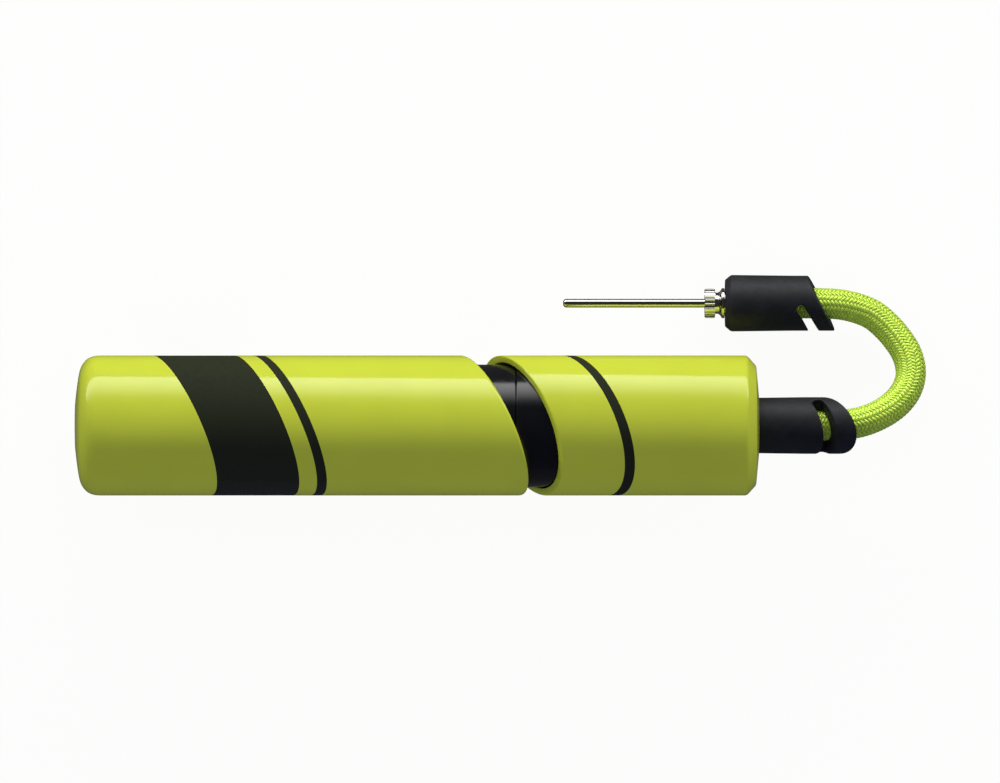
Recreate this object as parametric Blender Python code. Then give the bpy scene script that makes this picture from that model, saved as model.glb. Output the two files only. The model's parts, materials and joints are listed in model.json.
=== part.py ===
"""Hand pump for inflating balls, lying on its side with its hose laid beside it.

The pump's axis runs along X, from the closed end of the handle at -X to the hose at +X. The origin is
under the middle of the pump, on the surface that it lies on, and the needle end lies beside it at +Y.
A long sleeve, the handle, slides over a black barrel and carries the rod and the piston. A short shell
covers the front of the barrel, which is closed by a head with a check valve. A braided hose screws into
the head, and an inflating needle screws into the holder at the far end of the hose.
Sizes are in metres. Places along the pump are measured from its middle.
"""

import math

import bmesh
import bpy
from mathutils import Matrix, Vector

MM = 0.001

# ---- Driving dimensions ----
BODY_LENGTH = 188.0 * MM
BODY_RADIUS = 19.25 * MM
SLEEVE_BORE = 17.25 * MM
END_WALL = 3.5 * MM
KEY_REACH = 17.9 * MM
KEY_WIDTH = 3.0 * MM
BARREL_RADIUS = 16.75 * MM
BARREL_BORE = 14.75 * MM
STROKE = 75.0 * MM
GAP = 0.3 * MM

# The slanted mouths. Each plane crosses the axis at a place, leans by a rise along the axis for each
# unit of radius, and reaches furthest towards +X at a clock angle that is 0 at +Y and 90 degrees at +Z.
HANDLE_MOUTH = {"place": 20.9 * MM, "rise": 0.523, "clock": math.radians(141.9)}
SHELL_MOUTH = {"place": 28.8 * MM, "rise": 0.577, "clock": math.radians(123.9)}
FERRULE_MOUTH = {"place": 114.6 * MM, "rise": 0.818, "clock": math.radians(110.2)}
HOLDER_MOUTH = {"place": 111.5 * MM, "rise": 0.494, "clock": math.radians(190.0)}

# The slots round the two ferrules lean in the same way, and run from one clock angle to another.
FERRULE_SLOT = {"place": 109.5 * MM, "rise": 0.536, "clock": math.radians(118.1), "width": 3.0 * MM}
FERRULE_SLOT_ENDS = (math.radians(28), math.radians(198))
HOLDER_SLOT = {"place": 104.9 * MM, "rise": 0.582, "clock": math.radians(185.0), "width": 2.7 * MM}
HOLDER_SLOT_ENDS = (math.radians(95), math.radians(262))

HOSE_RADIUS = 4.25 * MM
FERRULE_RADIUS = 7.8 * MM
FERRULE_BORE = 4.75 * MM
HOLDER_RADIUS = 7.8 * MM
HOLDER_SIDE = 33.7 * MM
HOLDER_HEIGHT = 7.8 * MM

# ---- Places along the pump's axis ----
HANDLE_END = -BODY_LENGTH / 2
END_FLAT = 6.5 * MM
NOSE_END = BODY_LENGTH / 2
ANCHOR_BACK = HANDLE_END + END_WALL + GAP
ANCHOR_FRONT = -79.6 * MM
GLAND_BACK = ANCHOR_FRONT + 2 * GAP
BARREL_BACK = -74.2 * MM
BARREL_STEP = 27.0 * MM
BARREL_FRONT = 76.0 * MM
GLAND_FRONT = -65.0 * MM
BUFFER_FRONT = -60.7 * MM
PISTON_BACK = 40.0 * MM
PISTON_FRONT = 55.3 * MM
HEAD_BACK = 64.0 * MM
HEAD_FLANGE_FRONT = 79.0 * MM
HEAD_BOSS_FRONT = 86.0 * MM
INSERT_FLANGE_BACK = 87.6 * MM
INSERT_FLANGE_FRONT = 90.2 * MM
FERRULE_BACK = INSERT_FLANGE_FRONT + GAP
HOLDER_BACK = 84.8 * MM
SOCKET_FRONT = 94.0 * MM
NEEDLE_TIP = 40.2 * MM

ROD_RADIUS = 4.0 * MM
ROD_BORE = 2.2 * MM
SCREW_RADIUS = 1.9 * MM
PORT_RADIUS = 4.4 * MM
THREAD_PITCH = 1.25 * MM
NEEDLE_PITCH = 0.8 * MM

LIP_EDGE = 0.6 * MM
FERRULE_EDGE = 0.8 * MM
LARGE_ROUND = 48
INNER_ROUND = 36
SMALL_ROUND = 24
FINE_ROUND = 16
SHARP_ABOVE = math.radians(35)


# ---- Materials ----
def material(name, colour, roughness, metallic=0.0):
    """A Principled BSDF with one colour."""
    made = bpy.data.materials.new(name)
    made.use_nodes = True
    shader = made.node_tree.nodes["Principled BSDF"]
    shader.inputs["Base Color"].default_value = (*colour, 1.0)
    shader.inputs["Roughness"].default_value = roughness
    shader.inputs["Metallic"].default_value = metallic
    return made


def all_materials():
    """Every finish on the pump, by name."""
    return {
        "volt_paint": material("volt_paint", (0.58, 0.71, 0.03), 0.22),
        "black_gloss": material("black_gloss", (0.012, 0.013, 0.014), 0.18),
        "black_rubber": material("black_rubber", (0.02, 0.021, 0.021), 0.55),
        "seal_rubber": material("seal_rubber", (0.03, 0.03, 0.03), 0.6),
        "braid": material("braid", (0.48, 0.72, 0.04), 0.6),
        "nylon": material("nylon", (0.72, 0.71, 0.66), 0.45),
        "nickel": material("nickel", (0.78, 0.76, 0.72), 0.12, 1.0),
        "steel": material("steel", (0.62, 0.62, 0.63), 0.25, 1.0),
        "brass": material("brass", (0.75, 0.58, 0.28), 0.25, 1.0),
    }


# ---- Modelling helpers ----
def clear_scene():
    """Removes the objects that a new scene starts with."""
    for old in list(bpy.data.objects):
        bpy.data.objects.remove(old, do_unlink=True)


def empty(name, place):
    """A guide that pieces are parented to, at a place in the world."""
    guide = bpy.data.objects.new(name, None)
    guide.empty_display_size = 5 * MM
    guide.location = place
    bpy.context.collection.objects.link(guide)
    return guide


def add_object(name, data, parent, finish):
    """Links a mesh or a curve as a named object with one material."""
    made = bpy.data.objects.new(name, data)
    bpy.context.collection.objects.link(made)
    made.parent = parent
    if finish is not None:
        data.materials.append(finish)
    return made


def to_object(name, bm, parent, finish):
    """Turns a bmesh into an object, shaded smooth with its edges kept sharp."""
    bmesh.ops.recalc_face_normals(bm, faces=bm.faces)
    mesh = bpy.data.meshes.new(name)
    bm.to_mesh(mesh)
    bm.free()
    mesh.shade_smooth()
    mesh.set_sharp_from_angle(angle=SHARP_ABOVE)
    return add_object(name, mesh, parent, finish)


def round_corner(x, radius, size, start, end, steps=3):
    """Points of a round corner in an (x, radius) outline, about a centre, between two angles in degrees."""
    points = []
    for step in range(steps + 1):
        angle = math.radians(start + (end - start) * step / steps)
        points.append((x + size * math.cos(angle), radius + size * math.sin(angle)))
    return points


def thread_outline(start, end, crest, depth, pitch):
    """The outer side of a screw thread as ridges, in an (x, radius) outline."""
    points = []
    x = start
    while x + pitch <= end + 1e-9:
        points += [(x, crest - depth), (x + pitch / 2, crest)]
        x += pitch
    return points + [(end, crest - depth)]


def turned_bmesh(outline, segments, sweep=360.0):
    """Spins an (x, radius) outline about X. It closes itself, unless it starts and ends on the axis.
    The gap that a part turn leaves is centred at -Z."""
    bm = bmesh.new()
    verts = [bm.verts.new((x, 0.0, radius)) for x, radius in outline]
    edges = [bm.edges.new(pair) for pair in zip(verts, verts[1:])]
    if outline[0][1] > 0:
        edges.append(bm.edges.new((verts[-1], verts[0])))
    whole = sweep == 360.0
    faces = [] if whole else [bm.faces.new(verts)]
    bmesh.ops.spin(
        bm,
        geom=verts + edges + faces,
        cent=(0, 0, 0),
        axis=(1, 0, 0),
        angle=math.radians(sweep),
        steps=segments,
        use_merge=whole,
    )
    bmesh.ops.remove_doubles(bm, verts=bm.verts, dist=1e-7)
    if not whole:
        start = math.radians((360.0 - sweep) / 2 - 180.0)
        bmesh.ops.rotate(bm, verts=bm.verts, cent=(0, 0, 0), matrix=Matrix.Rotation(start, 3, "X"))
    return bm


def turned(name, outline, parent, finish, segments=LARGE_ROUND, sweep=360.0):
    """A turned piece on its parent's X axis."""
    return to_object(name, turned_bmesh(outline, segments, sweep), parent, finish)


def mouth_frame(mouth):
    """The mouth's point on the axis, its normal, and the direction in it that reaches furthest along X."""
    side = Vector((0.0, math.cos(mouth["clock"]), math.sin(mouth["clock"])))
    normal = (Vector((1, 0, 0)) - mouth["rise"] * side).normalized()
    along = (side + mouth["rise"] * Vector((1, 0, 0))).normalized()
    return Vector((mouth["place"], 0, 0)), normal, along


def cut_mouth(bm, mouth, keep_front, radius, edge):
    """Cuts a tube off on the mouth's plane, closes its wall with a flat lip and rounds the lip's outer edge."""
    point, normal, _ = mouth_frame(mouth)
    bmesh.ops.bisect_plane(
        bm,
        geom=bm.verts[:] + bm.edges[:] + bm.faces[:],
        plane_co=point,
        plane_no=normal,
        clear_inner=keep_front,
        clear_outer=not keep_front,
    )
    rim = [side for side in bm.edges if side.is_boundary]
    outer = [side for side in rim if math.hypot(*side.verts[0].co.yz) > 0.98 * radius]
    bmesh.ops.bridge_loops(bm, edges=rim)
    bmesh.ops.bevel(bm, geom=outer, offset=edge, segments=2, profile=0.5, affect="EDGES")


def cut_away(target, name, bm):
    """Subtracts a closed shape from a piece, through a hidden cutter."""
    cutter = to_object(name, bm, target.parent, None)
    cutter.hide_render = True
    cutter.display_type = "WIRE"
    boolean = target.modifiers.new(name, "BOOLEAN")
    boolean.operation = "DIFFERENCE"
    boolean.object = cutter


def add_on(target, name, bm):
    """Joins a closed shape to a piece, through a hidden guide."""
    guide = to_object(name, bm, target.parent, None)
    guide.hide_render = True
    guide.display_type = "WIRE"
    union = target.modifiers.new(name, "BOOLEAN")
    union.operation = "UNION"
    union.object = guide


def box_bmesh(centre, size):
    """A box of a size about a centre."""
    bm = bmesh.new()
    bmesh.ops.create_cube(bm, size=1.0, matrix=Matrix.Translation(centre) @ Matrix.Diagonal((*size, 1.0)))
    return bm


def prism_bmesh(sides, radius, start, end, bm=None, offset=(0.0, 0.0)):
    """A prism or a round peg along X, between two places, its centre offset in Y and Z."""
    bm = bm or bmesh.new()
    stand = Matrix.Translation(((start + end) / 2, *offset)) @ Matrix.Rotation(math.radians(90), 4, "Y")
    bmesh.ops.create_cone(
        bm, cap_ends=True, segments=sides, radius1=radius, radius2=radius, depth=end - start, matrix=stand
    )
    return bm


def slot_place(slot, clock, radius):
    """Where along the axis a slot's middle is, at a clock angle."""
    return slot["place"] + slot["rise"] * radius * math.cos(clock - slot["clock"])


def cut_slot(target, slot, ends, radius):
    """Cuts a leaning slot with round ends through a ferrule's wall, its sides square to the wall."""
    half = slot["width"] / 2
    inside, outside = 0.3 * radius, 1.15 * radius
    step = math.radians(8)
    into_end = [half * share / radius for share in (0.1, 0.45, 1.0)]
    count = round((ends[1] - ends[0]) / step)
    middle = [ends[0] + (ends[1] - ends[0]) * turn / count for turn in range(2, count - 1)]
    clocks = [ends[0] + near for near in into_end] + middle + [ends[1] - near for near in reversed(into_end)]
    bm = bmesh.new()
    loops = []
    for clock in clocks:
        from_end = min(half, radius * (clock - ends[0]), radius * (ends[1] - clock))
        reach = math.sqrt(half**2 - (half - from_end) ** 2)
        place = slot_place(slot, clock, radius)
        corners = ((-reach, inside), (-reach, outside), (reach, outside), (reach, inside))
        loops.append([
            bm.verts.new((place + along, away * math.cos(clock), away * math.sin(clock)))
            for along, away in corners
        ])
    for before, after in zip(loops, loops[1:]):
        for corner in range(4):
            bm.faces.new((before[corner], before[corner - 1], after[corner - 1], after[corner]))
    bm.faces.new(loops[0])
    bm.faces.new(loops[-1])
    cut_away(target, target.name + "_slot_cutter", bm)


# ---- Front shell, barrel and the pieces fixed in it ----
def front_shell(parent, finish):
    """The short outer shell that covers the front of the barrel, with a slanted mouth."""
    hose_hole = FERRULE_RADIUS + GAP
    behind = SHELL_MOUTH["place"] - BODY_RADIUS
    outline = [
        (behind, BODY_RADIUS),
        (NOSE_END - 4.0 * MM, BODY_RADIUS),
        (NOSE_END - 3.2 * MM, 19.0 * MM),
        (NOSE_END - 2.6 * MM, 18.5 * MM),
        (NOSE_END - 0.9 * MM, 16.5 * MM),
        (NOSE_END - 0.5 * MM, 15.7 * MM),
        (NOSE_END, hose_hole),
        (NOSE_END - END_WALL, hose_hole),
        (NOSE_END - END_WALL, SLEEVE_BORE),
        (behind, SLEEVE_BORE),
    ]
    bm = turned_bmesh(outline, LARGE_ROUND)
    cut_mouth(bm, SHELL_MOUTH, True, BODY_RADIUS, LIP_EDGE)
    return to_object("front_shell", bm, parent, finish)


def barrel_tube(parent, finish):
    """The cylinder that the piston runs in, stepped down where the liner covers it."""
    spigot = 15.9 * MM
    outline = [
        (BARREL_BACK, BARREL_BORE),
        (BARREL_BACK, BARREL_RADIUS),
        (BARREL_STEP, BARREL_RADIUS),
        (BARREL_STEP, spigot),
        (BARREL_FRONT, spigot),
        (BARREL_FRONT, BARREL_BORE),
    ]
    return turned("barrel_tube", outline, parent, finish)


def shell_liner(parent, finish):
    """The black sleeve between the barrel's spigot and the front shell."""
    inside, outside = 16.2 * MM, 16.95 * MM
    back = BARREL_STEP + GAP
    outline = [(back, inside), (back, outside), (BARREL_FRONT, outside), (BARREL_FRONT, inside)]
    return turned("shell_liner", outline, parent, finish)


def rod_gland(parent, finish):
    """The plug in the barrel's back end that guides the rod, with air vents and the key that keeps the
    handle from turning."""
    spigot = BARREL_BORE - GAP
    groove = 15.2 * MM
    bush_seat, lip = 6.3 * MM, 4.6 * MM
    lip_back = GLAND_FRONT - 1.5 * MM
    groove_back, groove_front = GLAND_BACK + 1.1 * MM, GLAND_BACK + 3.4 * MM
    flange_front = BARREL_BACK - GAP
    outline = [
        (GLAND_BACK, bush_seat),
        (GLAND_BACK, BARREL_RADIUS),
        (groove_back, BARREL_RADIUS),
        (groove_back, groove),
        (groove_front, groove),
        (groove_front, BARREL_RADIUS),
        (flange_front, BARREL_RADIUS),
        (flange_front, spigot),
        (GLAND_FRONT, spigot),
        (GLAND_FRONT, lip),
        (lip_back, lip),
        (lip_back, bush_seat),
    ]
    gland = turned("rod_gland", outline, parent, finish, INNER_ROUND)
    key = box_bmesh(
        ((GLAND_BACK + flange_front) / 2, 0, -(groove - MM + KEY_REACH) / 2),
        (flange_front - GLAND_BACK, KEY_WIDTH, KEY_REACH - groove + MM),
    )
    add_on(gland, "gland_key_guide", key)
    vents = bmesh.new()
    vent_circle, vent_radius, vent_count = 10.5 * MM, 1.2 * MM, 4
    for vent in range(vent_count):
        angle = math.tau * (vent + 0.5) / vent_count
        offset = (vent_circle * math.cos(angle), vent_circle * math.sin(angle))
        prism_bmesh(12, vent_radius, GLAND_BACK - MM, GLAND_FRONT + MM, vents, offset)
    cut_away(gland, "vent_cutter", vents)
    return gland


def glide_ring(parent, finish):
    """The ring on the gland that the handle sleeve slides on, open where the gland's key passes it."""
    inside, outside = 15.45 * MM, 17.05 * MM
    back, front = GLAND_BACK + 1.3 * MM, GLAND_BACK + 3.2 * MM
    outline = [(back, inside), (back, outside), (front, outside), (front, inside)]
    return turned("glide_ring", outline, parent, finish, LARGE_ROUND - 3, sweep=337.5)


def rod_bush(parent, finish):
    """The nylon bush that the rod runs in."""
    inside, outside = ROD_RADIUS + 0.25 * MM, 6.0 * MM
    back, front = GLAND_BACK + 0.4 * MM, GLAND_FRONT - 1.8 * MM
    outline = [(back, inside), (back, outside), (front, outside), (front, inside)]
    return turned("rod_bush", outline, parent, finish, SMALL_ROUND)


def stroke_buffer(parent, finish):
    """The rubber ring that softens the end of the pull stroke."""
    inside, outside = ROD_RADIUS + 0.4 * MM, 9.0 * MM
    back = GLAND_FRONT + GAP
    corner = 1.2 * MM
    outline = [
        (back, inside),
        (back, outside),
        *round_corner(BUFFER_FRONT - corner, outside - corner, corner, 90, 0, 2),
        (BUFFER_FRONT, inside),
    ]
    return turned("stroke_buffer", outline, parent, finish, SMALL_ROUND)


def outlet_head(parent, finish):
    """The head in the barrel's front end: an inlet hole, the valve chamber and the threaded port."""
    body = BARREL_BORE - GAP
    flange, boss = 16.9 * MM, 7.6 * MM
    inlet, chamber = 1.6 * MM, 4.2 * MM
    seat = HEAD_BACK + 2.5 * MM
    groove, groove_back, groove_front = 12.3 * MM, 68.0 * MM, 70.6 * MM
    flange_back = BARREL_FRONT + GAP
    outline = [
        (HEAD_BACK, inlet),
        (HEAD_BACK, body),
        (groove_back, body),
        (groove_back, groove),
        (groove_front, groove),
        (groove_front, body),
        (flange_back, body),
        (flange_back, flange),
        (HEAD_FLANGE_FRONT, flange),
        (HEAD_FLANGE_FRONT, boss),
        (HEAD_BOSS_FRONT, boss),
        (HEAD_BOSS_FRONT, PORT_RADIUS),
        (HEAD_FLANGE_FRONT, PORT_RADIUS),
        (HEAD_FLANGE_FRONT, chamber),
        (seat, chamber),
        (seat, inlet),
    ]
    return turned("outlet_head", outline, parent, finish, INNER_ROUND)


def o_ring(name, place, ring_radius, section, parent, finish, segments):
    """A rubber ring of round section about the axis."""
    sides = 8
    outline = [
        (
            place + section * math.cos(math.tau * side / sides),
            ring_radius + section * math.sin(math.tau * side / sides),
        )
        for side in range(sides)
    ]
    return turned(name, outline, parent, finish, segments)


def lock_ring(parent, finish):
    """The threaded ring that holds the head in the front shell, with two notches for a key."""
    inside, outside = 8.0 * MM, 16.95 * MM
    back = HEAD_FLANGE_FRONT + GAP
    front = back + 4.0 * MM
    outline = [(back, inside), (back, outside), (front, outside), (front, inside)]
    ring = turned("lock_ring", outline, parent, finish, INNER_ROUND)
    notch_depth, notch_width = 2.0 * MM, 3.0 * MM
    size = (notch_depth, 3 * outside, notch_width)
    cut_away(ring, "key_notch_cutter", box_bmesh((front, 0, 0), size))
    return ring


def valve_retainer(parent, finish):
    """The drilled plug that the valve spring bears on."""
    outside, hole = 3.95 * MM, 1.2 * MM
    back, front = 75.0 * MM, 78.4 * MM
    outline = [(back, hole), (back, outside), (front, outside), (front, hole)]
    return turned("valve_retainer", outline, parent, finish, SMALL_ROUND)


def valve_spring(parent, finish):
    """The light spring that closes the check valve."""
    wire, coil_radius, turns, steps = 0.32 * MM, 2.5 * MM, 5, 14
    back, front = 69.1 * MM, 74.3 * MM
    points = []
    for step in range(turns * steps + 1):
        share = step / (turns * steps)
        angle = math.tau * turns * share
        x = back + (front - back) * share
        points.append((x, coil_radius * math.cos(angle), coil_radius * math.sin(angle)))
    return tube("valve_spring", points, wire, parent, finish, bevel_resolution=1)


def valve_poppet(parent, finish):
    """The check valve's disc, with a nose that centres in the inlet and a stem inside the spring."""
    disc, stem, nose = 3.5 * MM, 1.6 * MM, 1.2 * MM
    tip, disc_back, disc_front, stem_front = 65.2 * MM, 66.8 * MM, 68.4 * MM, 70.2 * MM
    outline = [
        (tip, 0),
        (tip, 0.7 * nose),
        (disc_back, nose),
        (disc_back, disc),
        (disc_front, disc),
        (disc_front, stem),
        (stem_front, stem),
        (stem_front, 0),
    ]
    return turned("valve_poppet", outline, parent, finish, SMALL_ROUND)


# ---- Handle, rod and piston ----
def handle_sleeve(parent, finish):
    """The long outer sleeve that is pulled and pushed, closed at its end, with a keyway along its inside."""
    beyond = HANDLE_MOUTH["place"] + BODY_RADIUS
    floor = HANDLE_END + END_WALL
    outline = [
        (HANDLE_END, 0),
        (HANDLE_END, END_FLAT),
        (HANDLE_END + 0.4 * MM, 10.0 * MM),
        (HANDLE_END + 1.0 * MM, 14.0 * MM),
        (HANDLE_END + 1.55 * MM, 16.0 * MM),
        (HANDLE_END + 2.4 * MM, 17.4 * MM),
        (HANDLE_END + 3.6 * MM, 18.5 * MM),
        (HANDLE_END + 5.2 * MM, 19.1 * MM),
        (HANDLE_END + 6.8 * MM, BODY_RADIUS),
        (beyond, BODY_RADIUS),
        (beyond, SLEEVE_BORE),
        (floor + 2.3 * MM, SLEEVE_BORE),
        (floor, SLEEVE_BORE - 2.85 * MM),
        (floor, 0),
    ]
    bm = turned_bmesh(outline, LARGE_ROUND)
    cut_mouth(bm, HANDLE_MOUTH, False, BODY_RADIUS, LIP_EDGE)
    sleeve = to_object("handle_sleeve", bm, parent, finish)
    keyway_depth, keyway_width = KEY_REACH + 0.35 * MM, KEY_WIDTH + 0.8 * MM
    keyway_back = GLAND_BACK - 1.5 * MM
    centre = ((keyway_back + beyond) / 2, 0, -(keyway_depth + BARREL_BORE) / 2)
    size = (beyond - keyway_back, keyway_width, keyway_depth - BARREL_BORE)
    cut_away(sleeve, "keyway_cutter", box_bmesh(centre, size))
    return sleeve


def rod_anchor(parent, finish):
    """The disc inside the sleeve's closed end that the rod is screwed to."""
    disc, boss = SLEEVE_BORE - 0.35 * MM, 7.5 * MM
    disc_front = ANCHOR_BACK + 3.4 * MM
    recess, recess_front = 4.0 * MM, ANCHOR_BACK + 2.0 * MM
    socket, socket_back = ROD_RADIUS + GAP, ANCHOR_BACK + 3.7 * MM
    outline = [
        (ANCHOR_BACK, recess),
        (ANCHOR_BACK, disc - 2.7 * MM),
        (ANCHOR_BACK + 2.0 * MM, disc),
        (disc_front, disc),
        (disc_front, boss),
        (ANCHOR_FRONT, boss),
        (ANCHOR_FRONT, socket),
        (socket_back, socket),
        (socket_back, ROD_BORE),
        (recess_front, ROD_BORE),
        (recess_front, recess),
    ]
    return turned("rod_anchor", outline, parent, finish, INNER_ROUND)


def socket_screw(name, head_face, towards, parent, finish):
    """A screw with a hexagon socket. Its head's outer face is at a place and its shank runs towards +X or -X."""
    head, head_length, shank_length = 3.6 * MM, 1.7 * MM, 13.0 * MM
    key, key_depth = 1.5 * MM, 1.1 * MM
    under = head_face + towards * head_length
    tip = under + towards * shank_length
    outline = [(head_face, 0), (head_face, head), (under, head), (under, SCREW_RADIUS), (tip, SCREW_RADIUS), (tip, 0)]
    screw = turned(name, outline, parent, finish, SMALL_ROUND)
    ends = sorted((head_face - towards * MM, head_face + towards * key_depth))
    cut_away(screw, name + "_key_cutter", prism_bmesh(6, key, *ends))
    return screw


def piston_rod(parent, finish):
    """The tube that joins the anchor to the piston."""
    back, front = ANCHOR_BACK + 4.0 * MM, PISTON_FRONT - 2.6 * MM
    chamfer = 0.5 * MM
    outline = [
        (back, ROD_BORE),
        (back, ROD_RADIUS - chamfer),
        (back + chamfer, ROD_RADIUS),
        (front - chamfer, ROD_RADIUS),
        (front, ROD_RADIUS - chamfer),
        (front, ROD_BORE),
    ]
    return turned("piston_rod", outline, parent, finish, SMALL_ROUND)


def stop_spacer(parent, finish):
    """The tube on the rod that meets the buffer at the end of the pull stroke."""
    inside, outside = ROD_RADIUS + GAP, 6.5 * MM
    back, front = BUFFER_FRONT + GAP + STROKE, PISTON_BACK - GAP
    outline = [(back, inside), (back, outside), (front, outside), (front, inside)]
    return turned("stop_spacer", outline, parent, finish, SMALL_ROUND)


def piston_body(parent, finish):
    """The spool that carries the guide ring and backs the cup seal."""
    outside, groove = BARREL_BORE - 0.45 * MM, 12.7 * MM
    groove_back, groove_front = PISTON_BACK + 4.0 * MM, PISTON_BACK + 9.0 * MM
    rod_seat, seat_front = ROD_RADIUS + GAP, PISTON_FRONT - 2.3 * MM
    outline = [
        (PISTON_BACK, rod_seat),
        (PISTON_BACK, outside),
        (groove_back, outside),
        (groove_back, groove),
        (groove_front, groove),
        (groove_front, outside),
        (PISTON_FRONT, outside),
        (PISTON_FRONT, ROD_BORE),
        (seat_front, ROD_BORE),
        (seat_front, rod_seat),
    ]
    return turned("piston_body", outline, parent, finish, INNER_ROUND)


def piston_guide(parent, finish):
    """The split guide ring in the piston's groove."""
    inside, outside = 12.95 * MM, BARREL_BORE - 0.25 * MM
    back, front = PISTON_BACK + 4.3 * MM, PISTON_BACK + 8.7 * MM
    outline = [(back, inside), (back, outside), (front, outside), (front, inside)]
    return turned("piston_guide", outline, parent, finish, LARGE_ROUND - 1, sweep=352.5)


def cup_seal(parent, finish):
    """The rubber cup whose lip seals on the push stroke and lets air past on the pull stroke."""
    back, floor, lip_front = PISTON_FRONT + GAP, PISTON_FRONT + 2.3 * MM, PISTON_FRONT + 6.7 * MM
    lip = BARREL_BORE - 0.2 * MM
    outline = [
        (back, ROD_BORE),
        (back, lip - 0.9 * MM),
        (back + 1.0 * MM, lip - 0.3 * MM),
        (lip_front, lip),
        (lip_front, lip - 0.7 * MM),
        (floor + 0.8 * MM, lip - 1.7 * MM),
        (floor, lip - 2.4 * MM),
        (floor, ROD_BORE),
    ]
    return turned("cup_seal", outline, parent, finish, INNER_ROUND)


def piston_washer(parent, finish):
    """The washer that clamps the cup's floor."""
    outside = 9.0 * MM
    back, front = PISTON_FRONT + 2.6 * MM, PISTON_FRONT + 3.6 * MM
    outline = [(back, ROD_BORE), (back, outside), (front, outside), (front, ROD_BORE)]
    return turned("piston_washer", outline, parent, finish, SMALL_ROUND)


# ---- Hose, ferrule and needle end ----
HOSE_ROUTE = (
    (FERRULE_BACK + 0.2 * MM, 0.0, BODY_RADIUS),
    (98.0 * MM, 0.0, BODY_RADIUS),
    (105.0 * MM, 0.0, BODY_RADIUS),
    (111.0 * MM, 0.05 * MM, 19.2 * MM),
    (116.5 * MM, 0.25 * MM, 18.95 * MM),
    (121.1 * MM, 0.7 * MM, 18.4 * MM),
    (125.3 * MM, 2.05 * MM, 17.4 * MM),
    (129.3 * MM, 4.1 * MM, 15.9 * MM),
    (132.7 * MM, 6.9 * MM, 14.1 * MM),
    (135.1 * MM, 10.4 * MM, 12.0 * MM),
    (136.1 * MM, 14.7 * MM, 10.0 * MM),
    (135.1 * MM, 19.5 * MM, 8.3 * MM),
    (132.5 * MM, 23.8 * MM, 7.1 * MM),
    (129.4 * MM, 27.4 * MM, 6.4 * MM),
    (125.7 * MM, 30.5 * MM, 6.2 * MM),
    (121.6 * MM, 32.25 * MM, 6.5 * MM),
    (116.6 * MM, 33.38 * MM, 7.3 * MM),
    (110.5 * MM, 33.68 * MM, 7.75 * MM),
    (102.0 * MM, HOLDER_SIDE, HOLDER_HEIGHT),
    (SOCKET_FRONT + GAP, HOLDER_SIDE, HOLDER_HEIGHT),
)


def smooth_curve(points, steps):
    """Points along a Catmull-Rom curve through the given points, with a number of steps in each span."""
    knots = [Vector(point) for point in points]
    knots = [2 * knots[0] - knots[1], *knots, 2 * knots[-1] - knots[-2]]
    made = []
    for before, start, end, after in zip(knots, knots[1:], knots[2:], knots[3:]):
        for step in range(steps):
            t = step / steps
            made.append(
                0.5
                * (
                    2 * start
                    + (end - before) * t
                    + (2 * before - 5 * start + 4 * end - after) * t**2
                    + (3 * start - before - 3 * end + after) * t**3
                )
            )
    return made + [knots[-2]]


def tube(name, points, radius, parent, finish, bevel_resolution=2):
    """A round tube along points, as a curve with closed ends."""
    curve = bpy.data.curves.new(name, "CURVE")
    curve.dimensions = "3D"
    curve.bevel_depth = radius
    curve.bevel_resolution = bevel_resolution
    curve.use_fill_caps = True
    spline = curve.splines.new("POLY")
    spline.points.add(len(points) - 1)
    for knot, point in zip(spline.points, points):
        knot.co = (*point, 1.0)
    return add_object(name, curve, parent, finish)


def hose(parent, finish):
    """The braided hose, from the insert round to the needle holder."""
    to_parent = -Vector(parent.location)
    points = [Vector(point) + to_parent for point in smooth_curve(HOSE_ROUTE, 2)]
    return tube("hose", points, HOSE_RADIUS, parent, finish)


def hose_insert(parent, finish):
    """The brass fitting that screws into the head's port, with a hexagon flange under the ferrule."""
    crest, hole, hexagon = 4.05 * MM, 1.3 * MM, 7.7 * MM
    back = HEAD_FLANGE_FRONT + 0.8 * MM
    neck = 3.3 * MM
    inside_flange = INSERT_FLANGE_BACK + 0.6 * MM
    outline = [
        (back, hole),
        *thread_outline(back, INSERT_FLANGE_BACK - 1.0 * MM, crest, 0.5 * MM, THREAD_PITCH),
        (INSERT_FLANGE_BACK - 1.0 * MM, neck),
        (inside_flange, neck),
        (inside_flange, hole),
    ]
    insert = turned("hose_insert", outline, parent, finish, SMALL_ROUND)
    add_on(insert, "insert_flange_guide", prism_bmesh(6, hexagon, INSERT_FLANGE_BACK, INSERT_FLANGE_FRONT))
    cut_away(insert, "insert_bore_cutter", prism_bmesh(12, hole, back - MM, INSERT_FLANGE_FRONT + MM))
    return insert


def outlet_washer(parent, finish):
    """The sealing washer between the head's boss and the insert's flange."""
    inside, outside = PORT_RADIUS, 6.6 * MM
    back, front = HEAD_BOSS_FRONT + GAP, INSERT_FLANGE_BACK - GAP
    outline = [(back, inside), (back, outside), (front, outside), (front, inside)]
    return turned("outlet_washer", outline, parent, finish, SMALL_ROUND)


def hose_ferrule(parent, finish):
    """The black sleeve that relieves the hose where it leaves the pump."""
    beyond = FERRULE_MOUTH["place"] + FERRULE_RADIUS
    outline = [
        (FERRULE_BACK, FERRULE_BORE),
        (FERRULE_BACK, FERRULE_RADIUS),
        (beyond, FERRULE_RADIUS),
        (beyond, FERRULE_BORE),
    ]
    bm = turned_bmesh(outline, LARGE_ROUND)
    cut_mouth(bm, FERRULE_MOUTH, False, FERRULE_RADIUS, FERRULE_EDGE)
    ferrule = to_object("hose_ferrule", bm, parent, finish)
    cut_slot(ferrule, FERRULE_SLOT, FERRULE_SLOT_ENDS, FERRULE_RADIUS)
    return ferrule


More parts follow.
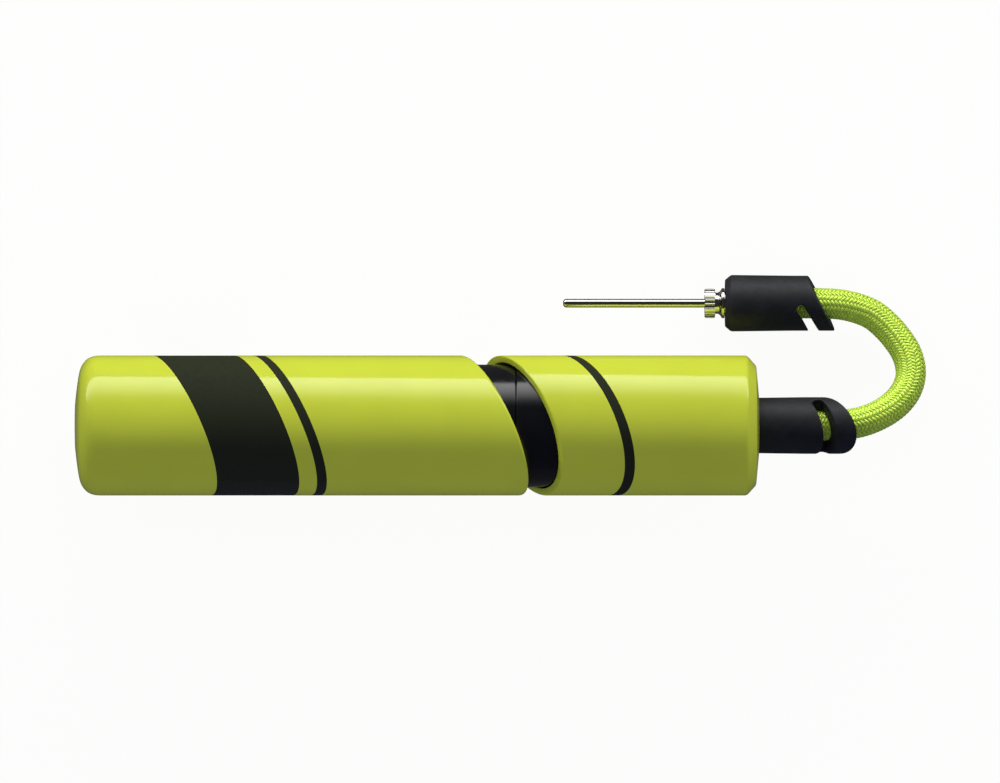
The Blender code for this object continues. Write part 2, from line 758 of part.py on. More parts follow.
def needle_holder(parent, finish):
    """The black grip at the hose's far end that holds the needle's socket."""
    chamfer_long, chamfer_deep = 1.7 * MM, 1.4 * MM
    socket_bore = 5.9 * MM
    beyond = HOLDER_MOUTH["place"] + HOLDER_RADIUS
    outline = [
        (HOLDER_BACK, socket_bore),
        (HOLDER_BACK, HOLDER_RADIUS - chamfer_deep),
        (HOLDER_BACK + chamfer_long, HOLDER_RADIUS),
        (beyond, HOLDER_RADIUS),
        (beyond, FERRULE_BORE),
        (SOCKET_FRONT, FERRULE_BORE),
        (SOCKET_FRONT, socket_bore),
    ]
    bm = turned_bmesh(outline, LARGE_ROUND)
    cut_mouth(bm, HOLDER_MOUTH, False, HOLDER_RADIUS, FERRULE_EDGE)
    holder = to_object("needle_holder", bm, parent, finish)
    cut_slot(holder, HOLDER_SLOT, HOLDER_SLOT_ENDS, HOLDER_RADIUS)
    return holder


def needle_socket(parent, finish):
    """The threaded metal socket in the holder that the needle screws into."""
    outside, bore, hole = 5.6 * MM, 4.05 * MM, 1.2 * MM
    back, bore_front = HOLDER_BACK + 1.2 * MM, SOCKET_FRONT - 2.3 * MM
    front = SOCKET_FRONT - GAP
    outline = [(back, bore), (back, outside), (front, outside), (front, hole), (bore_front, hole), (bore_front, bore)]
    return turned("needle_socket", outline, parent, finish, SMALL_ROUND)


def needle_washer(parent, finish):
    """The sealing washer under the needle's flange."""
    inside, outside = 4.0 * MM, 5.4 * MM
    back, front = HOLDER_BACK + 0.2 * MM, HOLDER_BACK + 0.9 * MM
    outline = [(back, inside), (back, outside), (front, outside), (front, inside)]
    return turned("needle_washer", outline, parent, finish, SMALL_ROUND)


def needle_base(parent, finish):
    """The needle's plated base: a knurled collar, a waist, a flange and the thread."""
    knurl_back, knurl_front = HOLDER_BACK - 5.6 * MM, HOLDER_BACK - 2.7 * MM
    knurl_crest, knurl_root, ridges = 4.1 * MM, 3.7 * MM, 20
    waist, flange, bore = 3.0 * MM, 4.15 * MM, 1.35 * MM
    flange_back, flange_front = HOLDER_BACK - 0.8 * MM, HOLDER_BACK - 0.1 * MM
    thread_crest, thread_front = 3.85 * MM, HOLDER_BACK + 6.3 * MM
    outline = [
        (knurl_front - 0.4 * MM, bore),
        (knurl_front - 0.4 * MM, waist),
        (knurl_front + 0.6 * MM, waist),
        (knurl_front + 1.2 * MM, waist + 0.35 * MM),
        (flange_back, flange),
        (flange_front, flange),
        *thread_outline(flange_front, thread_front, thread_crest, 0.45 * MM, NEEDLE_PITCH),
        (thread_front, bore),
    ]
    base = turned("needle_base", outline, parent, finish, SMALL_ROUND)
    knurl = prism_bmesh(2 * ridges, knurl_crest, knurl_back, knurl_front)
    for vert in knurl.verts:
        turn = math.atan2(vert.co.z, vert.co.y) / math.tau * 2 * ridges
        if round(turn) % 2:
            vert.co.y *= knurl_root / knurl_crest
            vert.co.z *= knurl_root / knurl_crest
    add_on(base, "knurl_guide", knurl)
    cut_away(base, "needle_bore_cutter", prism_bmesh(FINE_ROUND, bore, knurl_back - MM, thread_front + MM))
    return base


def needle_tube(parent, finish):
    """The thin plated tube with a rounded tip and an air hole in its underside."""
    outside, bore = 1.2 * MM, 0.6 * MM
    tip_wall = 1.5 * MM
    front = HOLDER_BACK + 3.0 * MM
    outline = [
        (NEEDLE_TIP, 0),
        (NEEDLE_TIP, 0.4 * MM),
        *round_corner(NEEDLE_TIP + 0.8 * MM, outside - 0.8 * MM, 0.8 * MM, 180, 90, 2)[1:],
        (front, outside),
        (front, bore),
        (NEEDLE_TIP + tip_wall, bore),
        (NEEDLE_TIP + tip_wall, 0),
    ]
    needle = turned("needle_tube", outline, parent, finish, FINE_ROUND)
    hole, hole_place = 0.45 * MM, NEEDLE_TIP + 4.0 * MM
    drill = bmesh.new()
    bmesh.ops.create_cone(
        drill,
        cap_ends=True,
        segments=8,
        radius1=hole,
        radius2=hole,
        depth=2 * outside,
        matrix=Matrix.Translation((hole_place, 0, -outside)),
    )
    cut_away(needle, "air_hole_cutter", drill)
    return needle


# ---- The assembly ----
def main():
    """Builds every piece on guides that stand on the joint axes."""
    clear_scene()
    finish = all_materials()

    pump_axis = empty("pump_axis", (0, 0, BODY_RADIUS))
    front_shell(pump_axis, finish["volt_paint"])
    shell_liner(pump_axis, finish["black_gloss"])
    barrel_tube(pump_axis, finish["black_gloss"])
    rod_gland(pump_axis, finish["black_gloss"])
    glide_ring(pump_axis, finish["nylon"])
    rod_bush(pump_axis, finish["nylon"])
    stroke_buffer(pump_axis, finish["seal_rubber"])
    outlet_head(pump_axis, finish["black_gloss"])
    o_ring("head_o_ring", 69.3 * MM, 13.5 * MM, 1.0 * MM, pump_axis, finish["seal_rubber"], INNER_ROUND)
    lock_ring(pump_axis, finish["black_gloss"])
    valve_retainer(pump_axis, finish["brass"])
    valve_spring(pump_axis, finish["steel"])
    valve_poppet(pump_axis, finish["nylon"])

    handle_axis = empty("handle_axis", (0, 0, BODY_RADIUS))
    handle_sleeve(handle_axis, finish["volt_paint"])
    rod_anchor(handle_axis, finish["black_gloss"])
    socket_screw("rod_screw", ANCHOR_BACK + 0.1 * MM, 1, handle_axis, finish["steel"])
    piston_rod(handle_axis, finish["steel"])
    stop_spacer(handle_axis, finish["nylon"])
    piston_body(handle_axis, finish["nylon"])
    piston_guide(handle_axis, finish["nylon"])
    cup_seal(handle_axis, finish["seal_rubber"])
    piston_washer(handle_axis, finish["steel"])
    socket_screw("piston_screw", PISTON_FRONT + 5.7 * MM, -1, handle_axis, finish["steel"])

    hose_axis = empty("hose_axis", (0, 0, BODY_RADIUS))
    outlet_washer(hose_axis, finish["seal_rubber"])
    hose_insert(hose_axis, finish["brass"])
    hose_ferrule(hose_axis, finish["black_rubber"])
    hose(hose_axis, finish["braid"])

    needle_axis = empty("needle_axis", (0, HOLDER_SIDE, HOLDER_HEIGHT))
    needle_holder(needle_axis, finish["black_rubber"])
    needle_socket(needle_axis, finish["brass"])
    needle_washer(needle_axis, finish["seal_rubber"])
    needle_base(needle_axis, finish["nickel"])
    needle_tube(needle_axis, finish["nickel"])


main()
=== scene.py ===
"""The visual model of a hand pump for balls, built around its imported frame.

A long sleeve slides over a black barrel as the handle, a shorter shell covers the barrel's front, and a
braided hose bends back beside the pump to a grip that holds a screw-in needle. Each sub-assembly is a
class that holds its sizes, models its pieces and dresses them.
"""

import json
import logging
import math
from collections.abc import Callable, Sequence
from dataclasses import dataclass, field
from enum import Enum

import bmesh
import bpy
import numpy as np
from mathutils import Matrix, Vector


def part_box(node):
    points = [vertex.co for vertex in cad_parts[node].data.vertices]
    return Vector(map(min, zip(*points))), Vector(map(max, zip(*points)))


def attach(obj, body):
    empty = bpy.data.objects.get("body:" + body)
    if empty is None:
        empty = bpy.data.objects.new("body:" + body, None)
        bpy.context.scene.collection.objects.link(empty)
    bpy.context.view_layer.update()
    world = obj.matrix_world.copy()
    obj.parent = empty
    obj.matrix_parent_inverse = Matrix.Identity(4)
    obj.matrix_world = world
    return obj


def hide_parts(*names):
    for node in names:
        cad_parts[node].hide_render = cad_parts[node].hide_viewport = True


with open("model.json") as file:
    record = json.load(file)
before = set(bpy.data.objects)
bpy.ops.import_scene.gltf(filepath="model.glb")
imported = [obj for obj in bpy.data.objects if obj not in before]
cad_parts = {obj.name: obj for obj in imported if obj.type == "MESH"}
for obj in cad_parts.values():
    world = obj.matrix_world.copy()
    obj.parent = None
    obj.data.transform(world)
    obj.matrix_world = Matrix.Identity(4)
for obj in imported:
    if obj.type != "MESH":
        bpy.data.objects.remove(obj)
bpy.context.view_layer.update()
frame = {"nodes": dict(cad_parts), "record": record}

LOG = logging.getLogger("pump")
MM = 0.001
SLEEVE_SIDES = 192
BAR_SIDES = 41
ON_PLANE = 0.002 * MM
Outline = list[tuple[float, float]]
Colour = tuple[float, float, float]
Piece = bpy.types.Object
Socket = bpy.types.NodeSocket
Material = bpy.types.Material


class Body(Enum):
    """The bodies that pieces ride on."""

    BARREL = "barrel_body"
    HANDLE = "handle_body"
    HOSE = "hose_body"
    NEEDLE = "needle_body"


class Slot(Enum):
    """The record's material slots."""

    PAINT = "volt_paint"
    GLOSS = "black_gloss"
    SATIN = "black_rubber"
    SEAL = "seal_rubber"
    BRAID = "braid"
    NYLON = "nylon"
    NICKEL = "nickel"
    STEEL = "steel"
    BRASS = "brass"


class Keep(Enum):
    """Which end of a tube stays when its mouth is cut."""

    FRONT = "front"
    BACK = "back"


class Twist(Enum):
    """The way a set of strands winds round the hose."""

    RIGHT = 1
    LEFT = -1


# ---- The bench: modelling steps that the sub-assemblies share ----
class Bench:
    """The steps by which pieces are modelled, with Blender's own tools."""

    @staticmethod
    def clear() -> None:
        """Leaves edit mode and lets go of everything that is selected."""
        if bpy.context.mode != "OBJECT":
            bpy.ops.object.mode_set(mode="OBJECT")
        bpy.ops.object.select_all(action="DESELECT")

    @staticmethod
    def named(name: str) -> Piece:
        """Names the primitive that was just added, and returns it."""
        piece = bpy.context.active_object
        piece.name = name
        piece.data.name = name
        return piece

    @staticmethod
    def take_up(piece: Piece) -> None:
        """Makes a piece the only one selected, in object mode."""
        Bench.clear()
        piece.select_set(True)
        bpy.context.view_layer.objects.active = piece

    @staticmethod
    def edit(piece: Piece) -> None:
        """Opens a piece in edit mode with all of it selected."""
        Bench.take_up(piece)
        bpy.ops.object.mode_set(mode="EDIT")
        bpy.ops.mesh.select_all(action="SELECT")

    @staticmethod
    def pick(piece: Piece, kind: str, wanted: Callable[[Vector, Vector], bool]) -> None:
        """Selects the edges or faces that pass a test.

        Args:
            piece: The piece that is open in edit mode.
            kind: EDGE or FACE.
            wanted: Says of an edge's two ends, or of a face's middle and normal, whether it is selected.
        """
        bpy.ops.mesh.select_mode(type=kind)
        bpy.ops.mesh.select_all(action="DESELECT")
        shape = bmesh.from_edit_mesh(piece.data)
        if kind == "EDGE":
            for edge in shape.edges:
                edge.select_set(wanted(edge.verts[0].co, edge.verts[1].co))
        else:
            for face in shape.faces:
                face.select_set(wanted(face.calc_center_median(), face.normal))
        bmesh.update_edit_mesh(piece.data)

    @staticmethod
    def begin(
        name: str, add: Callable[..., object], place: Sequence[float] | None = None, **shape: object
    ) -> Piece:
        """Adds a primitive at the origin and opens it in edit mode, moved to its place if it has one."""
        Bench.clear()
        add(location=(0, 0, 0), **shape)
        piece = Bench.named(name)
        Bench.edit(piece)
        if place is not None:
            bpy.ops.transform.translate(value=place)
        return piece

    @staticmethod
    def turned(name: str, outline: Outline, axis: Vector, sides: int = 160) -> Piece:
        """Draws an outline from one point and spins it about a line along X.

        Args:
            name: The new piece's name.
            outline: Points as (x, radius). It closes itself unless it starts and ends on the axis.
            axis: A point on the line.
            sides: How many steps go round.

        Returns:
            The closed piece, with its faces outward.
        """
        Bench.clear()
        bpy.ops.mesh.primitive_plane_add(size=MM, location=(0, 0, 0))
        piece = Bench.named(name)
        bpy.ops.object.mode_set(mode="EDIT")
        bpy.ops.mesh.select_mode(type="VERT")
        bpy.ops.mesh.select_all(action="SELECT")
        bpy.ops.mesh.merge(type="CENTER")
        start = (outline[0][0], axis.y, axis.z + outline[0][1])
        bpy.ops.transform.translate(value=start)
        for before, after in zip(outline, outline[1:]):
            step = (after[0] - before[0], 0, after[1] - before[1])
            bpy.ops.mesh.extrude_vertices_move(TRANSFORM_OT_translate={"value": step})
        if outline[0][1] > 0:
            shape = bmesh.from_edit_mesh(piece.data)
            shape.verts.ensure_lookup_table()
            shape.verts[0].select_set(True)
            bmesh.update_edit_mesh(piece.data)
            bpy.ops.mesh.edge_face_add()
        bpy.ops.mesh.select_all(action="SELECT")
        centre = (0, axis.y, axis.z)
        bpy.ops.mesh.spin(
            steps=sides, dupli=False, angle=math.tau, use_auto_merge=True, center=centre, axis=(1, 0, 0)
        )
        Bench.tidy(piece)
        return piece

    @staticmethod
    def tidy(piece: Piece) -> None:
        """Merges doubled points of the piece in edit mode, turns its faces outward and leaves edit mode."""
        bpy.ops.mesh.select_all(action="SELECT")
        bpy.ops.mesh.remove_doubles(threshold=1e-6)
        bpy.ops.mesh.dissolve_degenerate(threshold=1e-7)
        bpy.ops.mesh.select_all(action="SELECT")
        bpy.ops.mesh.normals_make_consistent(inside=False)
        bpy.ops.object.mode_set(mode="OBJECT")

    @staticmethod
    def swing(degrees: float, centre: Vector) -> None:
        """Turns what is selected about the X axis through a centre, from +Y towards +Z."""
        bpy.ops.transform.rotate(
            value=-math.radians(degrees), orient_axis="X", orient_type="GLOBAL", center_override=centre
        )

    @staticmethod
    def bevel(offset: float, segments: int = 3) -> None:
        """Rounds the edges that are selected."""
        bpy.ops.mesh.bevel(offset=offset, segments=segments, profile=0.5, affect="EDGES")

    @staticmethod
    def apply_all(piece: Piece) -> None:
        """Applies the piece's modifiers in order."""
        Bench.take_up(piece)
        for name in [modifier.name for modifier in piece.modifiers]:
            bpy.ops.object.modifier_apply(modifier=name)

    @staticmethod
    def combine(piece: Piece, other: Piece, how: str) -> None:
        """Joins another shape to a piece, or cuts it away, and removes the other shape.

        Args:
            piece: The piece that stays.
            other: The closed shape that is used up.
            how: The Boolean's operation, UNION or DIFFERENCE.
        """
        boolean = piece.modifiers.new(other.name, "BOOLEAN")
        boolean.operation = how
        boolean.object = other
        Bench.apply_all(piece)
        bpy.data.objects.remove(other, do_unlink=True)

    @staticmethod
    def soften(piece: Piece, grain: float, rounds: int) -> None:
        """Makes a cut shape one even skin with soft edges, as moulded rubber has.

        Args:
            piece: The closed piece.
            grain: The size of the new faces.
            rounds: How many times the skin is smoothed.
        """
        remesh = piece.modifiers.new("skin", "REMESH")
        remesh.mode = "VOXEL"
        remesh.voxel_size = grain
        remesh.use_smooth_shade = True
        smooth = piece.modifiers.new("ease", "SMOOTH")
        smooth.factor = 0.5
        smooth.iterations = rounds
        Bench.apply_all(piece)

    @staticmethod
    def shade(piece: Piece, sharp_above: float = 32.0) -> None:
        """Shades a piece smooth, but keeps edges sharp where they turn by more than an angle in degrees."""
        Bench.take_up(piece)
        bpy.ops.object.shade_smooth_by_angle(angle=math.radians(sharp_above))

    @staticmethod
    def hand_over(
        piece: Piece,
        body: Body,
        slot: Slot,
        finish: Material,
        stands_for: Sequence[str] = (),
    ) -> Piece:
        """Dresses a finished piece and gives it its place in the frame.

        Args:
            piece: The finished piece.
            body: The body that it moves with.
            slot: The record's slot for its finish; not used.
            finish: Its material.
            stands_for: The plain nodes that it is shown in place of.

        Returns:
            The same piece.
        """
        piece.data.materials.clear()
        piece.data.materials.append(finish)
        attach(piece, body.value)
        if stands_for:
            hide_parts(*stands_for)
        LOG.info("%s: %d faces, moves with %s", piece.name, len(piece.data.polygons), body.value)
        return piece


def rounded(corners: Sequence[tuple[float, float, float]], steps: int = 6) -> Outline:
    """Rounds the corners of an outline with arcs.

    Args:
        corners: Each corner as (x, radius, size of its round), in metres.
        steps: How many steps each arc has.

    Returns:
        The outline's points as (x, radius).
    """
    points: Outline = []
    for index, (x, radius, size) in enumerate(corners):
        corner = Vector((x, radius))
        if size == 0:
            points.append((x, radius))
            continue
        before = (Vector(corners[index - 1][:2]) - corner).normalized()
        after = (Vector(corners[(index + 1) % len(corners)][:2]) - corner).normalized()
        half = before.angle(after) / 2
        reach = size / math.tan(half)
        centre = corner + (before + after).normalized() * (size / math.sin(half))
        first = corner + before * reach - centre
        last = corner + after * reach - centre
        turn = first.angle(last)
        for step in range(steps + 1):
            share = step / steps
            arm = (first * math.sin((1 - share) * turn) + last * math.sin(share * turn)) / math.sin(turn)
            points.append(tuple(centre + arm))
    return points


def between(knots: Sequence, t: object) -> object:
    """Where a smooth curve is in the span between the two middle ones of four knots."""
    before, start, end, after = knots
    part = 2 * start + (end - before) * t + (2 * before - 5 * start + 4 * end - after) * t**2
    return (part + (3 * start - before - 3 * end + after) * t**3) / 2


def flowing(points: Outline, steps: int = 5) -> Outline:
    """Draws a smooth line through the points of an outline, with a number of steps in each span."""
    knots = [Vector(point) for point in points]
    knots = [2 * knots[0] - knots[1], *knots, 2 * knots[-1] - knots[-2]]
    made: Outline = []
    for span in zip(knots, knots[1:], knots[2:], knots[3:]):
        made += [tuple(between(span, step / steps)) for step in range(steps)]
    return [*made, tuple(knots[-2])]


def ridged(start: float, end: float, crest: float, depth: float, pitch: float) -> Outline:
    """The outer side of a screw thread as rounded ridges, from one place along the axis to another."""
    points: Outline = []
    count = round((end - start) / pitch)
    for ridge in range(count):
        x = start + ridge * pitch
        points += [(x, crest - depth), (x + 0.38 * pitch, crest), (x + 0.62 * pitch, crest)]
    return [*points, (start + count * pitch, crest - depth)]


@dataclass(frozen=True)
class Mouth:
    """A slanted mouth: the plane that a tube is cut off on.

    Attributes:
        place: Where the plane meets the tube's axis.
        rise: How far it leans along the axis for each unit away from it.
        clock: The side it leans to, in degrees from +Y towards +Z.
    """

    place: float
    rise: float
    clock: float

    def normal(self) -> Vector:
        """The plane's normal, towards +X."""
        turn = math.radians(self.clock)
        return Vector((1.0, -self.rise * math.cos(turn), -self.rise * math.sin(turn))).normalized()

    def distance(self, spot: Vector, axis: Vector) -> float:
        """How far in front of the plane a spot is."""
        return (spot - Vector((self.place, axis.y, axis.z))).dot(self.normal())

    def cut(
        self,
        piece: Piece,
        axis: Vector,
        keep: Keep,
        wall: tuple[float, float],
        rounds: tuple[float, float],
        segments: int = 4,
    ) -> None:
        """Cuts a tube off on the plane, closes its wall with a lip and rounds the lip's two edges.

        Args:
            piece: The turned tube.
            axis: A point on its axis.
            keep: The end that stays.
            wall: The tube's inner and outer radius there.
            rounds: The size of the inner and of the outer round.
            segments: How many steps each round has.
        """
        Bench.edit(piece)
        bpy.ops.mesh.bisect(
            plane_co=(self.place, axis.y, axis.z),
            plane_no=self.normal(),
            use_fill=False,
            clear_inner=keep is Keep.FRONT,
            clear_outer=keep is Keep.BACK,
            threshold=1e-7,
        )
        bpy.ops.mesh.bridge_edge_loops()
        middle = sum(wall) / 2
        for outer, size in ((True, rounds[1]), (False, rounds[0])):
            if size == 0:
                continue

            def on_rim(first: Vector, second: Vector, outer: bool = outer) -> bool:
                spots = (first, second)
                on_plane = all(abs(self.distance(spot, axis)) < ON_PLANE for spot in spots)
                return on_plane and all(((spot - axis).yz.length > middle) is outer for spot in spots)

            Bench.pick(piece, "EDGE", on_rim)
            Bench.bevel(size, segments)
        Bench.tidy(piece)


@dataclass(frozen=True)
class LeaningSlot:
    """A slot with round ends that winds part way round a rubber sleeve.

    Attributes:
        place: Where its middle is along the axis, on average.
        rise: How far it leans along the axis for each unit away from it.
        clock: The side it leans to, in degrees from +Y towards +Z.
        width: How wide it is.
        start: The clock angle of one end, in degrees.
        end: The clock angle of the other end.
    """

    place: float
    rise: float
    clock: float
    width: float
    start: float
    end: float

    def middle(self, clock: float, radius: float) -> float:
        """Where the slot's middle is along the axis, at a clock angle in degrees."""
        return self.place + self.rise * radius * math.cos(math.radians(clock - self.clock))

    def cutter(self, name: str, axis: Vector, radius: float) -> Piece:
        """Models the slot's own shape: a slab between two leaning planes, with rounded ends.

        Args:
            name: The cutter's name.
            axis: A point on the sleeve's axis.
            radius: The sleeve's outer radius.

        Returns:
            The closed cutter.
        """
        centre = Vector((self.place, axis.y, axis.z))
        cutter = Bench.begin(name, bpy.ops.mesh.primitive_cube_add, centre, size=6 * radius)
        lean = Mouth(self.place, self.rise, self.clock).normal()
        into_end = math.degrees(self.width / 2 / radius)
        clocks = (self.start + into_end, self.end - into_end)
        half = Vector((self.width / 2, 0, 0))
        around = [Vector((0, -math.sin(math.radians(c)), math.cos(math.radians(c)))) for c in clocks]
        for spot, normal, behind in (
            (centre - half, lean, True),
            (centre + half, lean, False),
            (centre, around[0], True),
            (centre, around[1], False),
        ):
            bpy.ops.mesh.select_all(action="SELECT")
            bpy.ops.mesh.bisect(
                plane_co=spot, plane_no=normal, use_fill=True, clear_inner=behind, clear_outer=not behind
            )
        Bench.tidy(cutter)
        for clock in clocks:
            end = self.round_end(name + "_end", axis, radius, clock)
            Bench.combine(cutter, end, "UNION")
        return cutter

    def round_end(self, name: str, axis: Vector, radius: float, clock: float) -> Piece:
        """Models a short round bar that stands out from the axis, for one end of the slot.

        Args:
            name: The bar's name.
            axis: A point on the sleeve's axis.
            radius: The sleeve's outer radius.
            clock: Where the bar stands, in degrees.

        Returns:
            The closed bar, as wide as the slot is across its own run.
        """
        lean = math.atan(self.rise * abs(math.sin(math.radians(clock - self.clock))))
        reach = (0.3 * radius, 1.2 * radius)
        centre = Vector((self.middle(clock, radius), axis.y, axis.z))
        place = centre + Vector((0, 0, sum(reach) / 2))
        across = self.width / 2 * math.cos(lean)
        add = bpy.ops.mesh.primitive_cylinder_add
        bar = Bench.begin(name, add, place, vertices=BAR_SIDES, radius=across, depth=reach[1] - reach[0])
        Bench.swing(clock - 90, centre)
        Bench.tidy(bar)
        return bar


# ---- Finishes ----
class Recipe:
    """A material's node tree, with short ways to add nodes to it."""

    def __init__(self, name: str) -> None:
        """Starts a material whose Principled shader is ready to be set."""
        self.material = bpy.data.materials.new(name)
        self.material.use_nodes = True
        self.tree = self.material.node_tree
        self.shader = self.tree.nodes["Principled BSDF"]
        self.spot = self.node("ShaderNodeTexCoord").outputs["Object"]

    def node(self, kind: str, **settings: object) -> bpy.types.Node:
        """Adds a node and sets its properties."""
        made = self.tree.nodes.new(kind)
        for key, value in settings.items():
            setattr(made, key, value)
        return made

    def feed(self, socket: Socket, value: object) -> None:
        """Links a socket to another one, or sets its own value."""
        if isinstance(value, Socket):
            self.tree.links.new(value, socket)
        else:
            socket.default_value = value

    def sum(self, how: str, *values: object) -> Socket:
        """A Math node on numbers or sockets."""
        made = self.node("ShaderNodeMath", operation=how)
        for socket, value in zip(made.inputs, values):
            self.feed(socket, value)
        return made.outputs[0]

    def dot(self, first: object, second: object) -> Socket:
        """How far a vector reaches along another."""
        made = self.node("ShaderNodeVectorMath", operation="DOT_PRODUCT")
        self.feed(made.inputs[0], first)
        self.feed(made.inputs[1], second)
        return made.outputs["Value"]

    def noise(
        self, scale: float, detail: float = 3.0, stretch: Colour = (1, 1, 1), spot: object = None
    ) -> Socket:
        """A noise with features of about 1 / scale metres, stretched along the axes where wanted."""
        where = self.node("ShaderNodeMapping")
        self.feed(where.inputs["Vector"], spot or self.spot)
        where.inputs["Scale"].default_value = stretch
        made = self.node("ShaderNodeTexNoise")
        self.feed(made.inputs["Vector"], where.outputs["Vector"])
        made.inputs["Scale"].default_value = scale
        made.inputs["Detail"].default_value = detail
        return made.outputs["Fac"]

    def spread(self, value: object, low: float, high: float, start: float = 0.3, end: float = 0.7) -> object:
        """Maps a value from a range to another, smoothly and without leaving it."""
        made = self.node("ShaderNodeMapRange", interpolation_type="SMOOTHSTEP")
        names = ("Value", "From Min", "From Max", "To Min", "To Max")
        for name, number in zip(names, (value, start, end, low, high)):
            self.feed(made.inputs[name], number)
        return made.outputs["Result"]

    def blend(self, share: object, first: object, second: object) -> Socket:
        """Mixes two colours."""
        made = self.node("ShaderNodeMix", data_type="RGBA")
        colours = [(*value, 1.0) if isinstance(value, tuple) else value for value in (first, second)]
        self.feed(made.inputs["Factor"], share)
        self.feed(made.inputs[6], colours[0])
        self.feed(made.inputs[7], colours[1])
        return made.outputs[2]

    def bump(self, height: object, distance: float, strength: float = 1.0, under: object = None) -> object:
        """Raises the surface by a height, on top of an earlier bump if there is one."""
        made = self.node("ShaderNodeBump")
        made.inputs["Strength"].default_value = strength
        made.inputs["Distance"].default_value = distance
        self.feed(made.inputs["Height"], height)
        if under is not None:
            self.feed(made.inputs["Normal"], under)
        return made.outputs["Normal"]

    def dress(self, **values: object) -> Material:
        """Feeds the shader's sockets, named with underscores for spaces, and returns the material."""
        for key, value in values.items():
            if key == "Base_Color" and isinstance(value, tuple):
                value = (*value, 1.0)
            self.feed(self.shader.inputs[key.replace("_", " ")], value)
        return self.material


@dataclass(frozen=True)
class Print:
    """Plain printed bands that run round a sleeve in line with its mouth.

    Attributes:
        mouth: The mouth that the bands are parallel to.
        axis: A point on the sleeve's axis.
        bands: Each band's middle behind the mouth, negative in front of it, and its width.
    """

    mouth: Mouth
    axis: Vector
    bands: tuple[tuple[float, float], ...]

    def mask(self, recipe: Recipe) -> Socket:
        """One inside the bands and nought outside, with a hair of softness at the edges."""
        normal = self.mouth.normal()
        start = normal.dot(Vector((self.mouth.place, self.axis.y, self.axis.z)))
        behind = recipe.sum("SUBTRACT", start, recipe.dot(recipe.spot, normal))
        ragged = recipe.sum("MULTIPLY", recipe.sum("SUBTRACT", recipe.noise(2500), 0.5), 0.05 * MM)
        behind = recipe.sum("ADD", behind, ragged)
        total: object = 0.0
        for middle, width in self.bands:
            away = recipe.sum("ABSOLUTE", recipe.sum("SUBTRACT", behind, middle))
            inside = recipe.spread(away, 1.0, 0.0, width / 2 - 0.03 * MM, width / 2 + 0.03 * MM)
            total = recipe.sum("MAXIMUM", total, inside)
        return total


@dataclass(frozen=True)
class GlossPaint:
    """Smooth yellow-green paint with plain dark bands printed on it."""

    colour: Colour = (0.66, 0.74, 0.041)
    ink: Colour = (0.018, 0.021, 0.0075)
    shine: float = 0.13
    ink_gleam: Colour = (0.12, 0.12, 0.12)
    ink_shine: float = 0.75

    def make(self, name: str, bands: Print | None = None) -> Material:
        """Builds the material, with printed bands if they are given."""
        recipe = Recipe(name)
        depth = recipe.noise(60, 2)
        shade = tuple(0.96 * channel for channel in self.colour)
        paint = recipe.blend(recipe.spread(depth, 0.0, 1.0), self.colour, shade)
        polish = recipe.spread(recipe.noise(140, 4), self.shine - 0.015, self.shine + 0.02)
        if bands is not None:
            mask = bands.mask(recipe)
            mottled = recipe.blend(recipe.noise(900), self.ink, tuple(1.25 * channel for channel in self.ink))
            paint = recipe.blend(mask, paint, mottled)
            matt = recipe.spread(recipe.noise(700), self.ink_shine - 0.04, self.ink_shine + 0.04)
            lift = recipe.sum("SUBTRACT", matt, polish)
            polish = recipe.sum("MULTIPLY_ADD", mask, lift, polish)
            recipe.feed(recipe.shader.inputs["Specular Tint"], recipe.blend(mask, (1.0, 1.0, 1.0), self.ink_gleam))
        peel = recipe.bump(recipe.noise(420, 2), 0.004 * MM, 0.35)
        skin = recipe.bump(mask, 0.012 * MM, 1.0, peel) if bands is not None else peel
        return recipe.dress(Base_Color=paint, Roughness=polish, Normal=skin, IOR=1.49)


@dataclass(frozen=True)
class Finish:
    """A plain material: two close tones, an uneven polish and a fine relief.

    Attributes:
        colour: Its own colour.
        second: How bright its other tone is beside that.
        tones: The scale and detail of the patches of the two tones.
        contrast: Where in the noise the tones change over, or nothing for an even mix.
        roughness: The least and the most.
        polish: The scale and detail of the change in polish.
        relief: The scale and detail of the relief, and how it is stretched.
        depth: How deep the relief is.
        strength: How strongly it shows.
        extras: Other values of the shader, by name.
    """

    colour: Colour
    second: float
    tones: tuple[float, float]
    roughness: tuple[float, float]
    polish: tuple[float, float]
    relief: tuple
    depth: float
    strength: float = 0.5
    contrast: tuple[float, float] | None = None
    extras: tuple[tuple[str, float], ...] = ()

    def make(self, name: str) -> Material:
        """Builds the material."""
        recipe = Recipe(name)
        share = recipe.noise(*self.tones)
        if self.contrast:
            share = recipe.spread(share, 0.0, 1.0, *self.contrast)
        tone = recipe.blend(share, self.colour, tuple(self.second * channel for channel in self.colour))
        low, high = self.roughness
        polish = low if low == high else recipe.spread(recipe.noise(*self.polish), low, high)
        skin = recipe.bump(recipe.noise(*self.relief), self.depth, self.strength)
        return recipe.dress(Base_Color=tone, Roughness=polish, Normal=skin, **dict(self.extras))


def moulded_black(shine: float = 0.17, grain: float = 0.003 * MM) -> Finish:
    """Hard black plastic with faint draw marks along the mould."""
    return Finish(
        (0.0065, 0.0068, 0.0072), 0.75, (90, 3), (shine - 0.02, shine + 0.03), (300, 4),
        (500, 3, (0.06, 1, 1)), grain, contrast=(0.3, 0.7), extras=(("IOR", 1.5),),
    )


def turned_metal(colour: Colour, shine: float) -> Finish:
    """Metal with the fine rings that turning and polishing leave."""
    return Finish(
        colour, 0.9, (400, 3), (shine * 0.8, shine * 1.35), (700, 4), (6000, 2, (1, 0.02, 0.02)),
        0.0012 * MM, extras=(("Metallic", 1.0),),
    )


